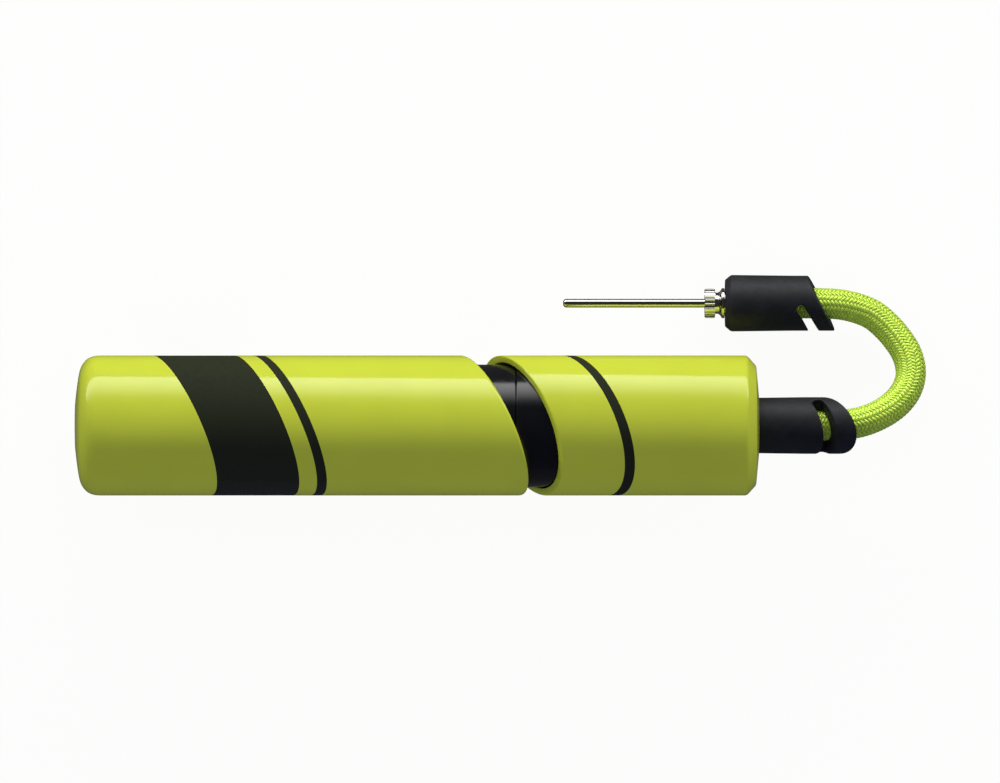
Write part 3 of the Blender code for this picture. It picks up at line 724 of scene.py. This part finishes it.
def plain_moulding(colour: Colour, shine: float) -> Finish:
    """Matt mouldings and seals inside the pump."""
    return Finish(colour, 0.86, (350, 4), (shine - 0.05, shine + 0.07), (900, 3), (2600, 2), 0.008 * MM)


SATIN_RUBBER = Finish(
    (0.0125, 0.013, 0.0125), 1.35, (260, 5), (0.56 - 0.04, 0.56 + 0.05), (900, 3), (5200, 2), 0.012 * MM,
    0.55, (0.35, 0.75), (("IOR", 1.5), ("Specular_IOR_Level", 0.3)),
)
HOSE_LINING = Finish((0.06, 0.11, 0.012), 0.6, (700, 3.0), (0.7, 0.7), (0, 0), (3000, 3.0), 0.01 * MM)


@dataclass(frozen=True)
class BraidYarn:
    """Shiny yarn in two close greens, with filaments that run along each strand and painted shade in the valleys
    between them.
    """

    bright: Colour = (0.74, 0.95, 0.075)
    deep: Colour = (0.46, 0.74, 0.07)
    filaments: float = 3.0
    shine: float = 0.36
    lustre: float = 0.3

    def make(self, name: str) -> Material:
        """Builds the material. The strands' UV map holds (strand + way round it, turns along it)."""
        recipe = Recipe(name)
        lay = recipe.node("ShaderNodeUVMap", uv_map="strand").outputs["UV"]
        parts = recipe.node("ShaderNodeSeparateXYZ")
        recipe.feed(parts.inputs[0], lay)
        strand = recipe.sum("FLOOR", parts.outputs["X"])
        around = recipe.sum("FRACT", parts.outputs["X"])
        twist = recipe.sum("MULTIPLY_ADD", parts.outputs["Y"], 6.0, recipe.sum("MULTIPLY", around, self.filaments * 2))
        hairs = recipe.sum("SINE", recipe.sum("MULTIPLY", twist, math.tau))
        ridge = recipe.spread(hairs, 0.0, 1.0, -1.0, 0.6)
        tint = recipe.node("ShaderNodeTexWhiteNoise", noise_dimensions="1D")
        recipe.feed(tint.inputs["W"], strand)
        own = recipe.spread(tint.outputs["Value"], 0.0, 0.3, 0.0, 1.0)
        patchy = recipe.spread(recipe.noise(320, 3), 0.0, 0.25)
        # Painted shade: the colour leans towards the deep green in the valleys between filaments. This comes on top of
        # the random tone of each strand and of patches.
        share = recipe.sum("ADD", own, recipe.sum("ADD", patchy, recipe.sum("MULTIPLY_ADD", ridge, -0.2, 0.2)))
        share = recipe.sum("MINIMUM", share, 1.0)
        tone = recipe.blend(share, self.bright, self.deep)
        skin = recipe.bump(hairs, 0.012 * MM, 0.6)
        polish = recipe.spread(recipe.noise(2400, 2), self.shine - 0.05, self.shine + 0.08)
        return recipe.dress(Base_Color=tone, Roughness=polish, Normal=skin, Metallic=self.lustre)


# ---- The pump's two sleeves and its barrel ----
@dataclass
class Handle:
    """The long sleeve that is pulled and pushed, closed by a shallow dome."""

    wall: float = 2.0 * MM
    end_wall: float = 3.5 * MM
    dome: tuple[tuple[float, float], ...] = (
        (0.0, 6.5), (0.4, 10.0), (1.0, 14.0), (1.55, 16.0), (2.4, 17.4), (3.6, 18.5), (5.2, 19.1), (6.8, 19.25)
    )
    mouth: Mouth = Mouth(20.9 * MM, 0.523, 141.9)
    lip_rounds: tuple[float, float] = (0.3 * MM, 0.95 * MM)
    keyway_width: float = 3.8 * MM
    keyway_radius: float = 18.25 * MM
    keyway_stop: float = 12 * MM
    bands: tuple[tuple[float, float], ...] = ((66.0 * MM, 20.0 * MM), (50.5 * MM, 2.4 * MM))

    def build(self, axis: Vector, finish: GlossPaint) -> None:
        """Turns the sleeve, cuts its mouth and keyway, and paints it."""
        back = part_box("handle_sleeve")[0].x
        radius = self.dome[-1][1] * MM
        bore = radius - self.wall
        front = self.mouth.place + radius
        dome = flowing([(back + x * MM, r * MM) for x, r in self.dome])
        inner = rounded(
            [(front, bore, 0), (back + self.end_wall, bore, 2.4 * MM), (back + self.end_wall, 0, 0)]
        )
        outline = [(back, 0), *dome, (front, radius), *inner]
        sleeve = Bench.turned("sleeve_handle", outline, axis, SLEEVE_SIDES)
        self.mouth.cut(sleeve, axis, Keep.BACK, (bore, radius), self.lip_rounds)
        length = front - back - self.keyway_stop
        keyway = Bench.begin("keyway", bpy.ops.mesh.primitive_cube_add, size=1)
        deep = self.keyway_radius - (bore - self.wall)
        bpy.ops.transform.resize(value=(length, self.keyway_width, deep), center_override=(0, 0, 0))
        middle = (front - length / 2, axis.y, axis.z - self.keyway_radius + deep / 2)
        bpy.ops.transform.translate(value=middle)
        Bench.pick(keyway, "EDGE", lambda a, b: abs(a.x - b.x) > length / 2 and max(a.z, b.z) < middle[2])
        Bench.bevel(0.3 * MM, 2)
        Bench.tidy(keyway)
        Bench.combine(sleeve, keyway, "DIFFERENCE")
        Bench.shade(sleeve)
        paint = finish.make("sleeve_paint", Print(self.mouth, axis, self.bands))
        Bench.hand_over(sleeve, Body.HANDLE, Slot.PAINT, paint, ["handle_sleeve"])


@dataclass
class FrontEnd:
    """The shell over the barrel's front, the liner in its mouth and the barrel itself."""

    radius: float = 19.25 * MM
    bore: float = 17.25 * MM
    end_wall: float = 3.5 * MM
    hose_hole: float = 8.1 * MM
    mouth: Mouth = Mouth(28.8 * MM, 0.577, 123.9)
    lip_rounds: tuple[float, float] = (0.25 * MM, 0.4 * MM)
    bands: tuple[tuple[float, float], ...] = ((-16.0 * MM, 2.4 * MM),)
    liner_radius: float = 16.95 * MM
    liner_bore: float = 16.2 * MM
    barrel_radius: float = 16.75 * MM
    barrel_bore: float = 14.75 * MM
    spigot: float = 15.9 * MM

    def build(self, axis: Vector, paint: GlossPaint, black: Finish) -> None:
        """Makes the three pieces."""
        self.shell(axis, paint)
        gloss = black.make("barrel_black")
        self.liner(axis, gloss)
        self.barrel(axis, gloss)

    def shell(self, axis: Vector, finish: GlossPaint) -> None:
        """The short painted shell, chamfered towards the hose and cut on a slant at its mouth."""
        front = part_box("front_shell")[1].x
        back = self.mouth.place - self.radius
        outline = rounded([
            (back, self.radius, 0),
            (front - 3.3 * MM, self.radius, 1.6 * MM),
            (front - 0.75 * MM, 16.4 * MM, 1.6 * MM),
            (front, self.hose_hole, 0.25 * MM),
            (front - self.end_wall, self.hose_hole, 0.2 * MM),
            (front - self.end_wall, self.bore, 0.8 * MM),
            (back, self.bore, 0),
        ])
        shell = Bench.turned("nose_shell", outline, axis, SLEEVE_SIDES)
        self.mouth.cut(shell, axis, Keep.FRONT, (self.bore, self.radius), self.lip_rounds)
        Bench.shade(shell)
        material = finish.make("shell_paint", Print(self.mouth, axis, self.bands))
        Bench.hand_over(shell, Body.BARREL, Slot.PAINT, material, ["front_shell"])

    def liner(self, axis: Vector, finish: Material) -> None:
        """The thin black sleeve that lines the shell and shows in its mouth."""
        back, front = (corner.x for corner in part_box("shell_liner"))
        outline = rounded([
            (back, self.liner_bore, 0.1 * MM),
            (back, self.liner_radius, 0.22 * MM),
            (front, self.liner_radius, 0.2 * MM),
            (front, self.liner_bore, 0.1 * MM),
        ], 4)
        self.ring("mouth_liner", outline, axis, finish, "shell_liner")

    def barrel(self, axis: Vector, finish: Material) -> None:
        """The cylinder, with a softened back edge and a step down where the liner starts."""
        back, front = (corner.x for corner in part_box("barrel_tube"))
        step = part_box("shell_liner")[0].x - 0.3 * MM
        outline = rounded([
            (back, self.barrel_bore, 0.4 * MM),
            (back, self.barrel_radius, 0.5 * MM),
            (step, self.barrel_radius, 0.18 * MM),
            (step, self.spigot, 0.1 * MM),
            (front, self.spigot, 0.3 * MM),
            (front, self.barrel_bore, 0.3 * MM),
        ], 4)
        self.ring("black_barrel", outline, axis, finish, "barrel_tube")

    @staticmethod
    def ring(name: str, outline: Outline, axis: Vector, finish: Material, node: str) -> None:
        """Turns a plain ring and hands it over in place of a node."""
        piece = Bench.turned(name, outline, axis, SLEEVE_SIDES)
        Bench.shade(piece)
        Bench.hand_over(piece, Body.BARREL, Slot.GLOSS, finish, [node])


# ---- The hose with its two rubber sleeves ----
@dataclass
class RubberSleeve:
    """A soft black sleeve on one end of the hose, with a slanted mouth and a leaning slot.

    Attributes:
        name: The piece's name.
        node: The plain node that it stands for.
        back_radius: Its radius at the end away from the mouth.
        front_radius: Its radius at the mouth.
        bore: The hole that the hose lies in.
        chamfer: The length and depth of the chamfer on its far end, with its roundness.
        pocket: The length and radius of the pocket behind the hose, or nothing.
        mouth: The slanted mouth.
        slot: The leaning slot.
    """

    name: str
    node: str
    back_radius: float
    front_radius: float
    bore: float
    chamfer: tuple[float, float, float]
    pocket: tuple[float, float]
    mouth: Mouth
    slot: LeaningSlot
    edge: float = 0.4 * MM
    grain: float = 0.19 * MM

    def build(self, axis: Vector, finish: Material) -> Piece:
        """Models the sleeve and hands it over.

        Args:
            axis: A point on the sleeve's axis.
            finish: Its material.

        Returns:
            The finished piece.
        """
        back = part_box(self.node)[0].x
        beyond = self.mouth.place + self.front_radius
        long, deep, soft = self.chamfer
        pocket_long, pocket_radius = self.pocket
        corners = [(back, pocket_radius, 0)]
        if deep:
            corners += [(back, self.back_radius - deep, soft), (back + long, self.back_radius, 1.6 * soft)]
        else:
            corners += [(back, self.back_radius, 0.3 * MM)]
        corners += [(self.mouth.place - 8 * MM, self.front_radius, 0), (beyond, self.front_radius, 0)]
        corners += [(beyond, self.bore, 0)]
        if pocket_long:
            corners += [(back + pocket_long, self.bore, 0), (back + pocket_long, pocket_radius, 0)]
        sleeve = Bench.turned(self.name, rounded(corners), axis, 144)
        walls = (self.bore, self.front_radius)
        self.mouth.cut(sleeve, axis, Keep.BACK, walls, (0.35 * MM, self.edge), 5)
        cutter = self.slot.cutter(self.name + "_slot", axis, self.front_radius)
        Bench.combine(sleeve, cutter, "DIFFERENCE")
        Bench.soften(sleeve, self.grain, 4)
        Bench.shade(sleeve, 60)
        return Bench.hand_over(sleeve, Body.HOSE, Slot.SATIN, finish, [self.node])


def unit(rows: np.ndarray) -> np.ndarray:
    """The same vectors, each one unit long."""
    return rows / np.linalg.norm(rows, axis=1)[:, None]


@dataclass
class Hose:
    """The braided hose: a rubber tube under two sets of strands that pass over and under each other."""

    route: tuple[tuple[float, float, float], ...] = (
        (0.0907, 0.0, 0.01925), (0.098, 0.0, 0.01925), (0.105, 0.0, 0.01925), (0.111, 0.00005, 0.0192),
        (0.1165, 0.00025, 0.01895), (0.1211, 0.0007, 0.0184), (0.1253, 0.00205, 0.0174),
        (0.1293, 0.0041, 0.0159), (0.1327, 0.0069, 0.0141), (0.1351, 0.0104, 0.012),
        (0.1361, 0.0147, 0.01), (0.1351, 0.0195, 0.0083), (0.1325, 0.0238, 0.0071),
        (0.1294, 0.0274, 0.0064), (0.1257, 0.0305, 0.0062), (0.1216, 0.03225, 0.0065),
        (0.1166, 0.03338, 0.0073), (0.1105, 0.03368, 0.00775), (0.102, 0.0337, 0.0078),
        (0.0943, 0.0337, 0.0078),
    )
    diameter: float = 8.5 * MM
    strands: int = 16
    lead: float = 16.0 * MM
    strand_width: float = 0.86 * MM
    strand_depth: float = 0.4 * MM
    swing: float = 0.23 * MM
    sides: int = 8
    spacing: float = 0.2 * MM
    line: np.ndarray = field(init=False)
    along: np.ndarray = field(init=False)
    normals: np.ndarray = field(init=False)

    def __post_init__(self) -> None:
        """Works out the centre line, the distance along it, and a direction at each point that never twists."""
        knots = np.array(self.route)
        knots = np.vstack([2 * knots[0] - knots[1], knots, 2 * knots[-1] - knots[-2]])
        t = np.linspace(0, 1, 24, endpoint=False)[:, None]
        spans = zip(knots, knots[1:], knots[2:], knots[3:])
        fine = np.vstack([*(between(span, t) for span in spans), knots[-2]])
        run = np.concatenate([[0], np.cumsum(np.linalg.norm(np.diff(fine, axis=0), axis=1))])
        count = int(run[-1] / self.spacing)
        self.along = np.linspace(0, run[-1], count + 1)
        line = np.column_stack([np.interp(self.along, run, fine[:, k]) for k in range(3)])
        ease = np.exp(-0.5 * (np.arange(-12, 13) / 5.0) ** 2)
        padded = np.vstack([
            2 * line[0] - line[12:0:-1], line, 2 * line[-1] - line[-2:-14:-1]
        ])
        self.line = np.column_stack([np.convolve(padded[:, k], ease / ease.sum(), "valid") for k in range(3)])
        self.line[0], self.line[-1] = line[0], line[-1]
        tangents = self.tangents()
        normals = [np.array((0.0, 0.0, 1.0))]
        for tangent in tangents[1:]:
            carried = normals[-1] - tangent * np.dot(normals[-1], tangent)
            normals.append(carried / np.linalg.norm(carried))
        self.normals = np.array(normals)

    def tangents(self) -> np.ndarray:
        """The centre line's direction at each point."""
        return unit(np.gradient(self.line, axis=0))

    def length(self) -> float:
        """How long the hose is, along its centre line."""
        return float(np.linalg.norm(np.diff(self.line, axis=0), axis=1).sum())

    def skin(self, name: str, rings: Sequence[np.ndarray], uvs: Sequence[np.ndarray]) -> Piece:
        """Makes one mesh of closed tubes from rings of points.

        Args:
            name: The piece's name.
            rings: For each tube, its points as (place along it, place round it, 3).
            uvs: For each tube, (u, v) at the same places.

        Returns:
            The new piece.
        """
        shape = bmesh.new()
        lay = shape.loops.layers.uv.new("strand")
        for tube, tube_uv in zip(rings, uvs):
            verts = [[shape.verts.new(spot) for spot in ring] for ring in tube]
            sides = len(verts[0])
            for row in range(len(verts) - 1):
                for side in range(sides):
                    after = (side + 1) % sides
                    face = shape.faces.new(
                        (verts[row][side], verts[row][after], verts[row + 1][after], verts[row + 1][side])
                    )
                    for loop, (at, step) in zip(face.loops, ((row, 0), (row, 1), (row + 1, 1), (row + 1, 0))):
                        u, v = tube_uv[at, side]
                        loop[lay].uv = (u + step * 0.98 / sides, v)
            shape.faces.new(verts[0][::-1])
            shape.faces.new(verts[-1])
        bmesh.ops.recalc_face_normals(shape, faces=shape.faces)
        mesh = bpy.data.meshes.new(name)
        shape.to_mesh(mesh)
        shape.free()
        mesh.shade_smooth()
        piece = bpy.data.objects.new(name, mesh)
        bpy.context.scene.collection.objects.link(piece)
        return piece

    def offset(self, angle: np.ndarray, radius: np.ndarray) -> np.ndarray:
        """Points at an angle and a distance from each point of the centre line."""
        across = np.cross(self.tangents(), self.normals)
        ray = np.cos(angle)[:, None] * self.normals + np.sin(angle)[:, None] * across
        return self.line + radius[:, None] * ray

    def core(self) -> Piece:
        """The rubber tube under the braid."""
        radius = self.diameter / 2 - self.strand_depth - 2 * self.swing + 0.12 * MM
        sides = 48
        every = slice(None, None, 4)
        rays = [self.offset(np.full(len(self.line), math.tau * k / sides), np.full(len(self.line), radius))[every]
                for k in range(sides)]
        rings = np.stack(rays, axis=1)
        share = np.arange(sides) / sides
        uv = np.stack(np.broadcast_arrays(share[None, :], self.along[every][:, None] / self.lead), axis=2)
        return self.skin("hose_core", [rings], [uv])

    def braid(self, name: str, twist: Twist) -> Piece:
        """One set of strands. Each passes over two strands of the other set, then under two.

        Args:
            name: The piece's name.
            twist: The way the strands wind.

        Returns:
            The new piece.
        """
        middle = self.diameter / 2 - self.strand_depth / 2 - self.swing
        crossings = 2 * self.strands * self.along / self.lead
        around = math.tau * np.arange(self.sides) / self.sides
        tubes, uvs = [], []
        for strand in range(self.strands):
            way = twist.value
            angle = math.tau * strand / self.strands + way * math.tau * self.along / self.lead
            lift = way * np.cos(math.pi / 2 * (way * crossings + 2 * strand - 0.5))
            path = self.offset(angle, middle + self.swing * lift)
            run = unit(np.gradient(path, axis=0))
            across = unit(np.cross(unit(path - self.line), run))
            up = np.cross(run, across)
            wide = np.cos(around) * self.strand_width / 2
            tall = np.sign(np.sin(around)) * np.abs(np.sin(around)) ** 0.8 * self.strand_depth / 2
            tubes.append(path[:, None] + wide[None, :, None] * across[:, None] + tall[None, :, None] * up[:, None])
            share = strand + np.arange(self.sides) / self.sides
            uvs.append(np.stack(np.broadcast_arrays(share[None, :], self.along[:, None] / self.lead), axis=2))
        return self.skin(name, tubes, uvs)

    def build(self, yarn: Material, lining: Material) -> list[Piece]:
        """Makes the tube and both sets of strands, and hands them over.

        Returns:
            The tube, then the two sets of strands.
        """
        core = self.core()
        right = self.braid("braid_right", Twist.RIGHT)
        left = self.braid("braid_left", Twist.LEFT)
        for piece, finish in ((core, lining), (right, yarn), (left, yarn)):
            Bench.hand_over(piece, Body.HOSE, Slot.BRAID, finish, ["hose"])
        return [core, right, left]


# ---- The needle ----
@dataclass
class Needle:
    """The screw-in needle: a knurled collar with its neck, flange and thread, and the thin tube."""

    ridges: int = 20
    crest: float = 4.1 * MM
    root: float = 3.68 * MM
    waist: float = 2.95 * MM
    flange: float = 4.15 * MM
    bore: float = 1.35 * MM
    thread: float = 3.85 * MM
    thread_depth: float = 0.45 * MM
    pitch: float = 0.8 * MM
    shank: float = 1.2 * MM
    shank_bore: float = 0.6 * MM
    air_hole: float = 0.45 * MM
    air_hole_place: float = 4 * MM
    tip_wall: float = 1.5 * MM
    knurl_length: float = 2.9 * MM
    flange_span: tuple[float, float] = (4.8 * MM, 5.5 * MM)

    def collar(self, axis: Vector, finish: Material) -> Piece:
        """The plated base that fingers turn."""
        back, front = (corner.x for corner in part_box("needle_base"))
        knurl_front = back + self.knurl_length
        flange_back, flange_front = (back + place for place in self.flange_span)
        neck = flowing([
            (knurl_front + 0.15 * MM, self.waist),
            (knurl_front + 0.7 * MM, self.waist),
            (knurl_front + 1.15 * MM, self.waist + 0.2 * MM),
            (knurl_front + 1.5 * MM, self.waist + 0.55 * MM),
            (flange_back - 0.15 * MM, self.flange - 0.16 * MM),
        ])
        rim = rounded([
            (flange_back - 0.08 * MM, self.flange - 0.22 * MM, 0),
            (flange_back, self.flange, 0.1 * MM),
            (flange_front, self.flange, 0.16 * MM),
            (flange_front, self.thread - self.thread_depth, 0),
        ])
        outline = [
            (knurl_front - 0.5 * MM, self.bore),
            (knurl_front - 0.5 * MM, self.waist),
            *neck,
            *rim,
            *ridged(flange_front + 0.2 * MM, front, self.thread, self.thread_depth, self.pitch),
            (front, self.bore),
        ]
        collar = Bench.turned("needle_collar", outline, axis, 96)
        knurl = self.knurl(axis, back, knurl_front)
        Bench.combine(collar, knurl, "UNION")
        Bench.shade(collar, 30)
        return Bench.hand_over(collar, Body.NEEDLE, Slot.NICKEL, finish, ["needle_base"])

    def knurl(self, axis: Vector, back: float, front: float) -> Piece:
        """The ring of raised ribs, each pulled out of one side of a many-sided drum.

        Args:
            axis: A point on the needle's axis.
            back: Where the ring starts along the axis.
            front: Where it ends.

        Returns:
            The closed ring, drilled through.
        """
        Bench.clear()
        bpy.ops.mesh.primitive_cylinder_add(
            vertices=2 * self.ridges,
            radius=self.root / math.cos(math.pi / (2 * self.ridges)),
            depth=front - back,
            location=(0, 0, 0),
            rotation=(0, math.pi / 2, 0),
        )
        knurl = Bench.named("knurl")
        bpy.ops.object.transform_apply(location=True, rotation=True, scale=True)
        Bench.edit(knurl)
        bpy.ops.transform.translate(value=((back + front) / 2, axis.y, axis.z))

        def every_other(middle: Vector, normal: Vector) -> bool:
            turn = math.atan2(normal.z, normal.y) / math.tau * 2 * self.ridges
            return abs(normal.x) < 0.5 and math.floor(turn) % 2 == 0

        Bench.pick(knurl, "FACE", every_other)
        bpy.ops.mesh.inset(thickness=0.12 * MM, depth=self.crest - self.root, use_individual=True)
        high = self.crest - 0.1 * MM
        Bench.pick(knurl, "EDGE", lambda a, b: min((a - axis).yz.length, (b - axis).yz.length) > high)
        Bench.bevel(0.16 * MM, 3)
        Bench.tidy(knurl)
        hole = [(back - MM, 0), (back - MM, self.bore), (front + MM, self.bore), (front + MM, 0)]
        drill = Bench.turned("drill", hole, axis, 48)
        Bench.combine(knurl, drill, "DIFFERENCE")
        return knurl

    def tube(self, axis: Vector, finish: Material) -> Piece:
        """The thin tube with a rounded tip and an air hole underneath."""
        tip, front = (corner.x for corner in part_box("needle_tube"))
        outline = rounded([
            (tip, 0, 0),
            (tip, self.shank, 0.9 * MM),
            (front, self.shank, 0),
            (front, self.shank_bore, 0),
            (tip + self.tip_wall, self.shank_bore, 0),
            (tip + self.tip_wall, 0, 0),
        ])
        tube = Bench.turned("needle_shank", outline, axis, 64)
        place = (tip + self.air_hole_place, axis.y, axis.z - self.shank)
        add = bpy.ops.mesh.primitive_cylinder_add
        drill = Bench.begin("air_drill", add, place, vertices=32, radius=self.air_hole, depth=2 * self.shank)
        Bench.tidy(drill)
        Bench.combine(tube, drill, "DIFFERENCE")
        Bench.shade(tube)
        return Bench.hand_over(tube, Body.NEEDLE, Slot.NICKEL, finish, ["needle_tube"])


# ---- The pieces that stay as the frame has them ----
@dataclass
class Workings:
    """The gland, head, valve, piston and fittings, which keep their frame meshes and get a finish each."""

    black: Finish = moulded_black(0.3, 0.01 * MM)
    nylon: Finish = plain_moulding((0.72, 0.71, 0.66), 0.42)
    seal: Finish = plain_moulding((0.02, 0.02, 0.021), 0.6)
    steel: Finish = turned_metal((0.62, 0.62, 0.63), 0.2)
    brass: Finish = turned_metal((0.75, 0.56, 0.26), 0.2)

    def dress(self) -> None:
        """Gives every carried-over node the finish of its slot."""
        finishes = {
            Slot.GLOSS.value: self.black.make("inner_black"),
            Slot.NYLON.value: self.nylon.make("inner_nylon"),
            Slot.SEAL.value: self.seal.make("seal_rubber_finish"),
            Slot.STEEL.value: self.steel.make("bright_steel"),
            Slot.BRASS.value: self.brass.make("turned_brass"),
        }
        slots = {part["node"]: part["material_slot"] for part in frame["record"]["subparts"]}
        for name, node in frame["nodes"].items():
            finish = finishes.get(slots[name])
            if finish is None:
                continue
            node.data.materials.clear()
            node.data.materials.append(finish)
            LOG.info("%s: %s", name, finish.name)


# ---- Camera, light and floor ----
@dataclass(frozen=True)
class Softbox:
    """A long upright light beside the pump.

    Attributes:
        name: The light's name.
        power: Its power in watts.
        height: Where its lower edge is above the pump's axis, and how tall it is.
        levels: How bright it is, as (height in it from 0 to 1, share of the full brightness).
        for_gloss: Whether it is there for reflections, or else for soft shading.
        length: How long it is.
        distance: How far from the pump it stands.
    """

    name: str
    power: float
    height: tuple[float, float]
    levels: tuple[tuple[float, float], ...]
    for_gloss: bool
    length: float = 3.4
    distance: float = 1.0

    def build(self, aim_x: float, axis: Vector) -> None:
        """Stands the light up on the +Y side."""
        low, tall = self.height
        lamp = bpy.data.lights.new(self.name, "AREA")
        lamp.shape = "RECTANGLE"
        lamp.size, lamp.size_y = self.length, tall
        lamp.energy = self.power
        lamp.use_nodes = True
        tree = lamp.node_tree
        where = tree.nodes.new("ShaderNodeNewGeometry")
        parts = tree.nodes.new("ShaderNodeSeparateXYZ")
        ramp = tree.nodes.new("ShaderNodeValToRGB")
        tree.links.new(where.outputs["Parametric"], parts.inputs[0])
        tree.links.new(parts.outputs["Y"], ramp.inputs["Fac"])
        tree.links.new(ramp.outputs["Color"], tree.nodes["Emission"].inputs["Strength"])
        stops = ramp.color_ramp.elements
        while len(stops) < len(self.levels):
            stops.new(0.5)
        for stop, (height, level) in zip(stops, sorted((1 - height, level) for height, level in self.levels)):
            stop.position = height
            stop.color = (level, level, level, 1)
        light = bpy.data.objects.new(self.name, lamp)
        light.location = (aim_x, self.distance, axis.z + low + tall / 2)
        light.rotation_euler = (-math.pi / 2, 0, 0)
        light.visible_camera = False
        light.visible_glossy = self.for_gloss
        light.visible_diffuse = not self.for_gloss
        bpy.context.scene.collection.objects.link(light)


def by_ray(tree: bpy.types.NodeTree, shaders: Sequence[Socket], end: Socket) -> None:
    """Shows diffuse rays one shader, reflections a second and the camera a third."""
    rays = tree.nodes.new("ShaderNodeLightPath")
    shown = shaders[0]
    for kind, other in zip(("Is Glossy Ray", "Is Camera Ray"), shaders[1:]):
        mix = tree.nodes.new("ShaderNodeMixShader")
        for socket, source in zip(mix.inputs, (rays.outputs[kind], shown, other)):
            tree.links.new(source, socket)
        shown = mix.outputs[0]
    tree.links.new(shown, end)


@dataclass
class Studio:
    """A pale floor, a long soft light low on one side, an even fill, and the camera overhead."""

    frame_width: float = 275.0 * MM
    distance: float = 4.0
    aim: tuple[float, float] = (22.8 * MM, 9.35 * MM)
    sensor: float = 36.0
    lights: tuple[Softbox, ...] = (
        Softbox(
            "gleam",
            62.0,
            (0.035, 1.25),
            (
                (0.0, 1.0), (0.13, 0.93), (0.245, 0.8), (0.37, 0.58),
                (0.52, 0.33), (0.67, 0.1), (0.86, 0.03), (1.0, 0.0),
            ),
            True,
        ),
        Softbox("wash", 21.5, (0.21, 0.235), ((0.0, 1.0), (1.0, 1.0)), False),
    )
    fill: Colour = (0.33, 0.345, 0.62)
    overhead: float = 0.03
    underside: float = 0.06
    paper: Colour = (0.985, 0.985, 0.968)

    def camera(self, axis: Vector) -> None:
        """Sets the camera straight above, far enough away for a nearly flat view."""
        lens = bpy.data.cameras.new("camera")
        lens.sensor_width = self.sensor
        lens.lens = self.sensor * self.distance / self.frame_width
        lens.clip_end = 50.0
        camera = bpy.data.objects.new("camera", lens)
        camera.location = (*self.aim, axis.z + self.distance)
        bpy.context.scene.collection.objects.link(camera)
        bpy.context.scene.camera = camera

    def surround(self) -> None:
        """The room: white to look at, a soft cool fill on the pump, and dark in its reflections."""
        world = bpy.data.worlds.new("room")
        bpy.context.scene.world = world
        world.use_nodes = True
        tree = world.node_tree
        fill = tree.nodes["Background"]
        fill.inputs["Color"].default_value = (*self.fill, 1)
        dark = tree.nodes.new("ShaderNodeBackground")
        dark.inputs["Color"].default_value = (self.overhead, self.overhead, self.overhead, 1)
        white = tree.nodes.new("ShaderNodeBackground")
        white.inputs["Color"].default_value = (*self.paper, 1)
        shaders = (fill.outputs[0], dark.outputs[0], white.outputs[0])
        by_ray(tree, shaders, tree.nodes["World Output"].inputs["Surface"])

    def floor(self) -> None:
        """A white floor that stays white to the eye and gives the pump the same fill from below."""
        Bench.clear()
        bpy.ops.mesh.primitive_plane_add(size=12, location=(0, 0, 0))
        floor = Bench.named("floor")
        recipe = Recipe("floor_white")
        glows = {"Emission_Color": (*self.paper, 1), "Emission_Strength": 0.97}
        recipe.dress(Base_Color=(0.05, 0.05, 0.05), Roughness=1.0, **glows)
        recipe.shader.inputs["Specular IOR Level"].default_value = 0.0
        glow = recipe.node("ShaderNodeEmission")
        glow.inputs["Color"].default_value = (*self.fill, 1)
        dim = recipe.node("ShaderNodeEmission")
        dim.inputs["Color"].default_value = (self.underside, self.underside, self.underside, 1)
        shaders = (glow.outputs[0], dim.outputs[0], recipe.shader.outputs[0])
        by_ray(recipe.tree, shaders, recipe.tree.nodes["Material Output"].inputs["Surface"])
        floor.data.materials.append(recipe.material)

    def build(self, axis: Vector) -> None:
        """Sets up the floor, the room and the light, and draws colours as they are."""
        self.floor()
        self.surround()
        for light in self.lights:
            light.build(self.aim[0], axis)
        bpy.context.scene.view_settings.view_transform = "Standard"


def middle_of(node: str) -> Vector:
    """The point on the axis of a round node, with no place along it."""
    low, high = (Vector(corner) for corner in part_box(node))
    middle = (low + high) / 2
    middle.x = 0
    return middle


def main() -> None:
    """Builds the camera and the hose first, then every other sub-assembly, and dresses the rest."""
    logging.basicConfig(level=logging.INFO, format="%(name)s: %(message)s")
    pump_axis = middle_of("barrel_tube")
    needle_axis = middle_of("needle_tube")
    studio = Studio()
    studio.camera(pump_axis)
    hose = Hose()
    strands = hose.build(BraidYarn().make("braid_yarn"), HOSE_LINING.make("hose_lining"))

    satin = SATIN_RUBBER.make("satin_rubber")
    ferrule = RubberSleeve(
        "hose_sleeve", "hose_ferrule", 7.6 * MM, 7.8 * MM, 4.3 * MM, (0, 0, 0), (0, 4.3 * MM),
        Mouth(114.6 * MM, 0.818, 110.2),
        LeaningSlot(109.65 * MM, 0.5, 118.1, 3.6 * MM, 23, 200),
    ).build(pump_axis, satin)
    grip = RubberSleeve(
        "needle_grip", "needle_holder", 7.8 * MM, 7.6 * MM, 4.3 * MM, (1.7 * MM, 1.4 * MM, 0.7 * MM),
        (9.2 * MM, 5.9 * MM),
        Mouth(111.5 * MM, 0.494, 190.0),
        LeaningSlot(104.9 * MM, 0.582, 185.0, 2.8 * MM, 93, 264),
    ).build(needle_axis, satin)

    needle = Needle()
    nickel = turned_metal((0.80, 0.78, 0.73), 0.09).make("nickel_plate")
    collar = needle.collar(needle_axis, nickel)
    shank = needle.tube(needle_axis, nickel)
    hose.length()

    paint = GlossPaint()
    Handle().build(pump_axis, paint)
    FrontEnd().build(pump_axis, paint, moulded_black())
    Workings().dress()
    studio.build(pump_axis)


if __name__ == "__main__":
    main()
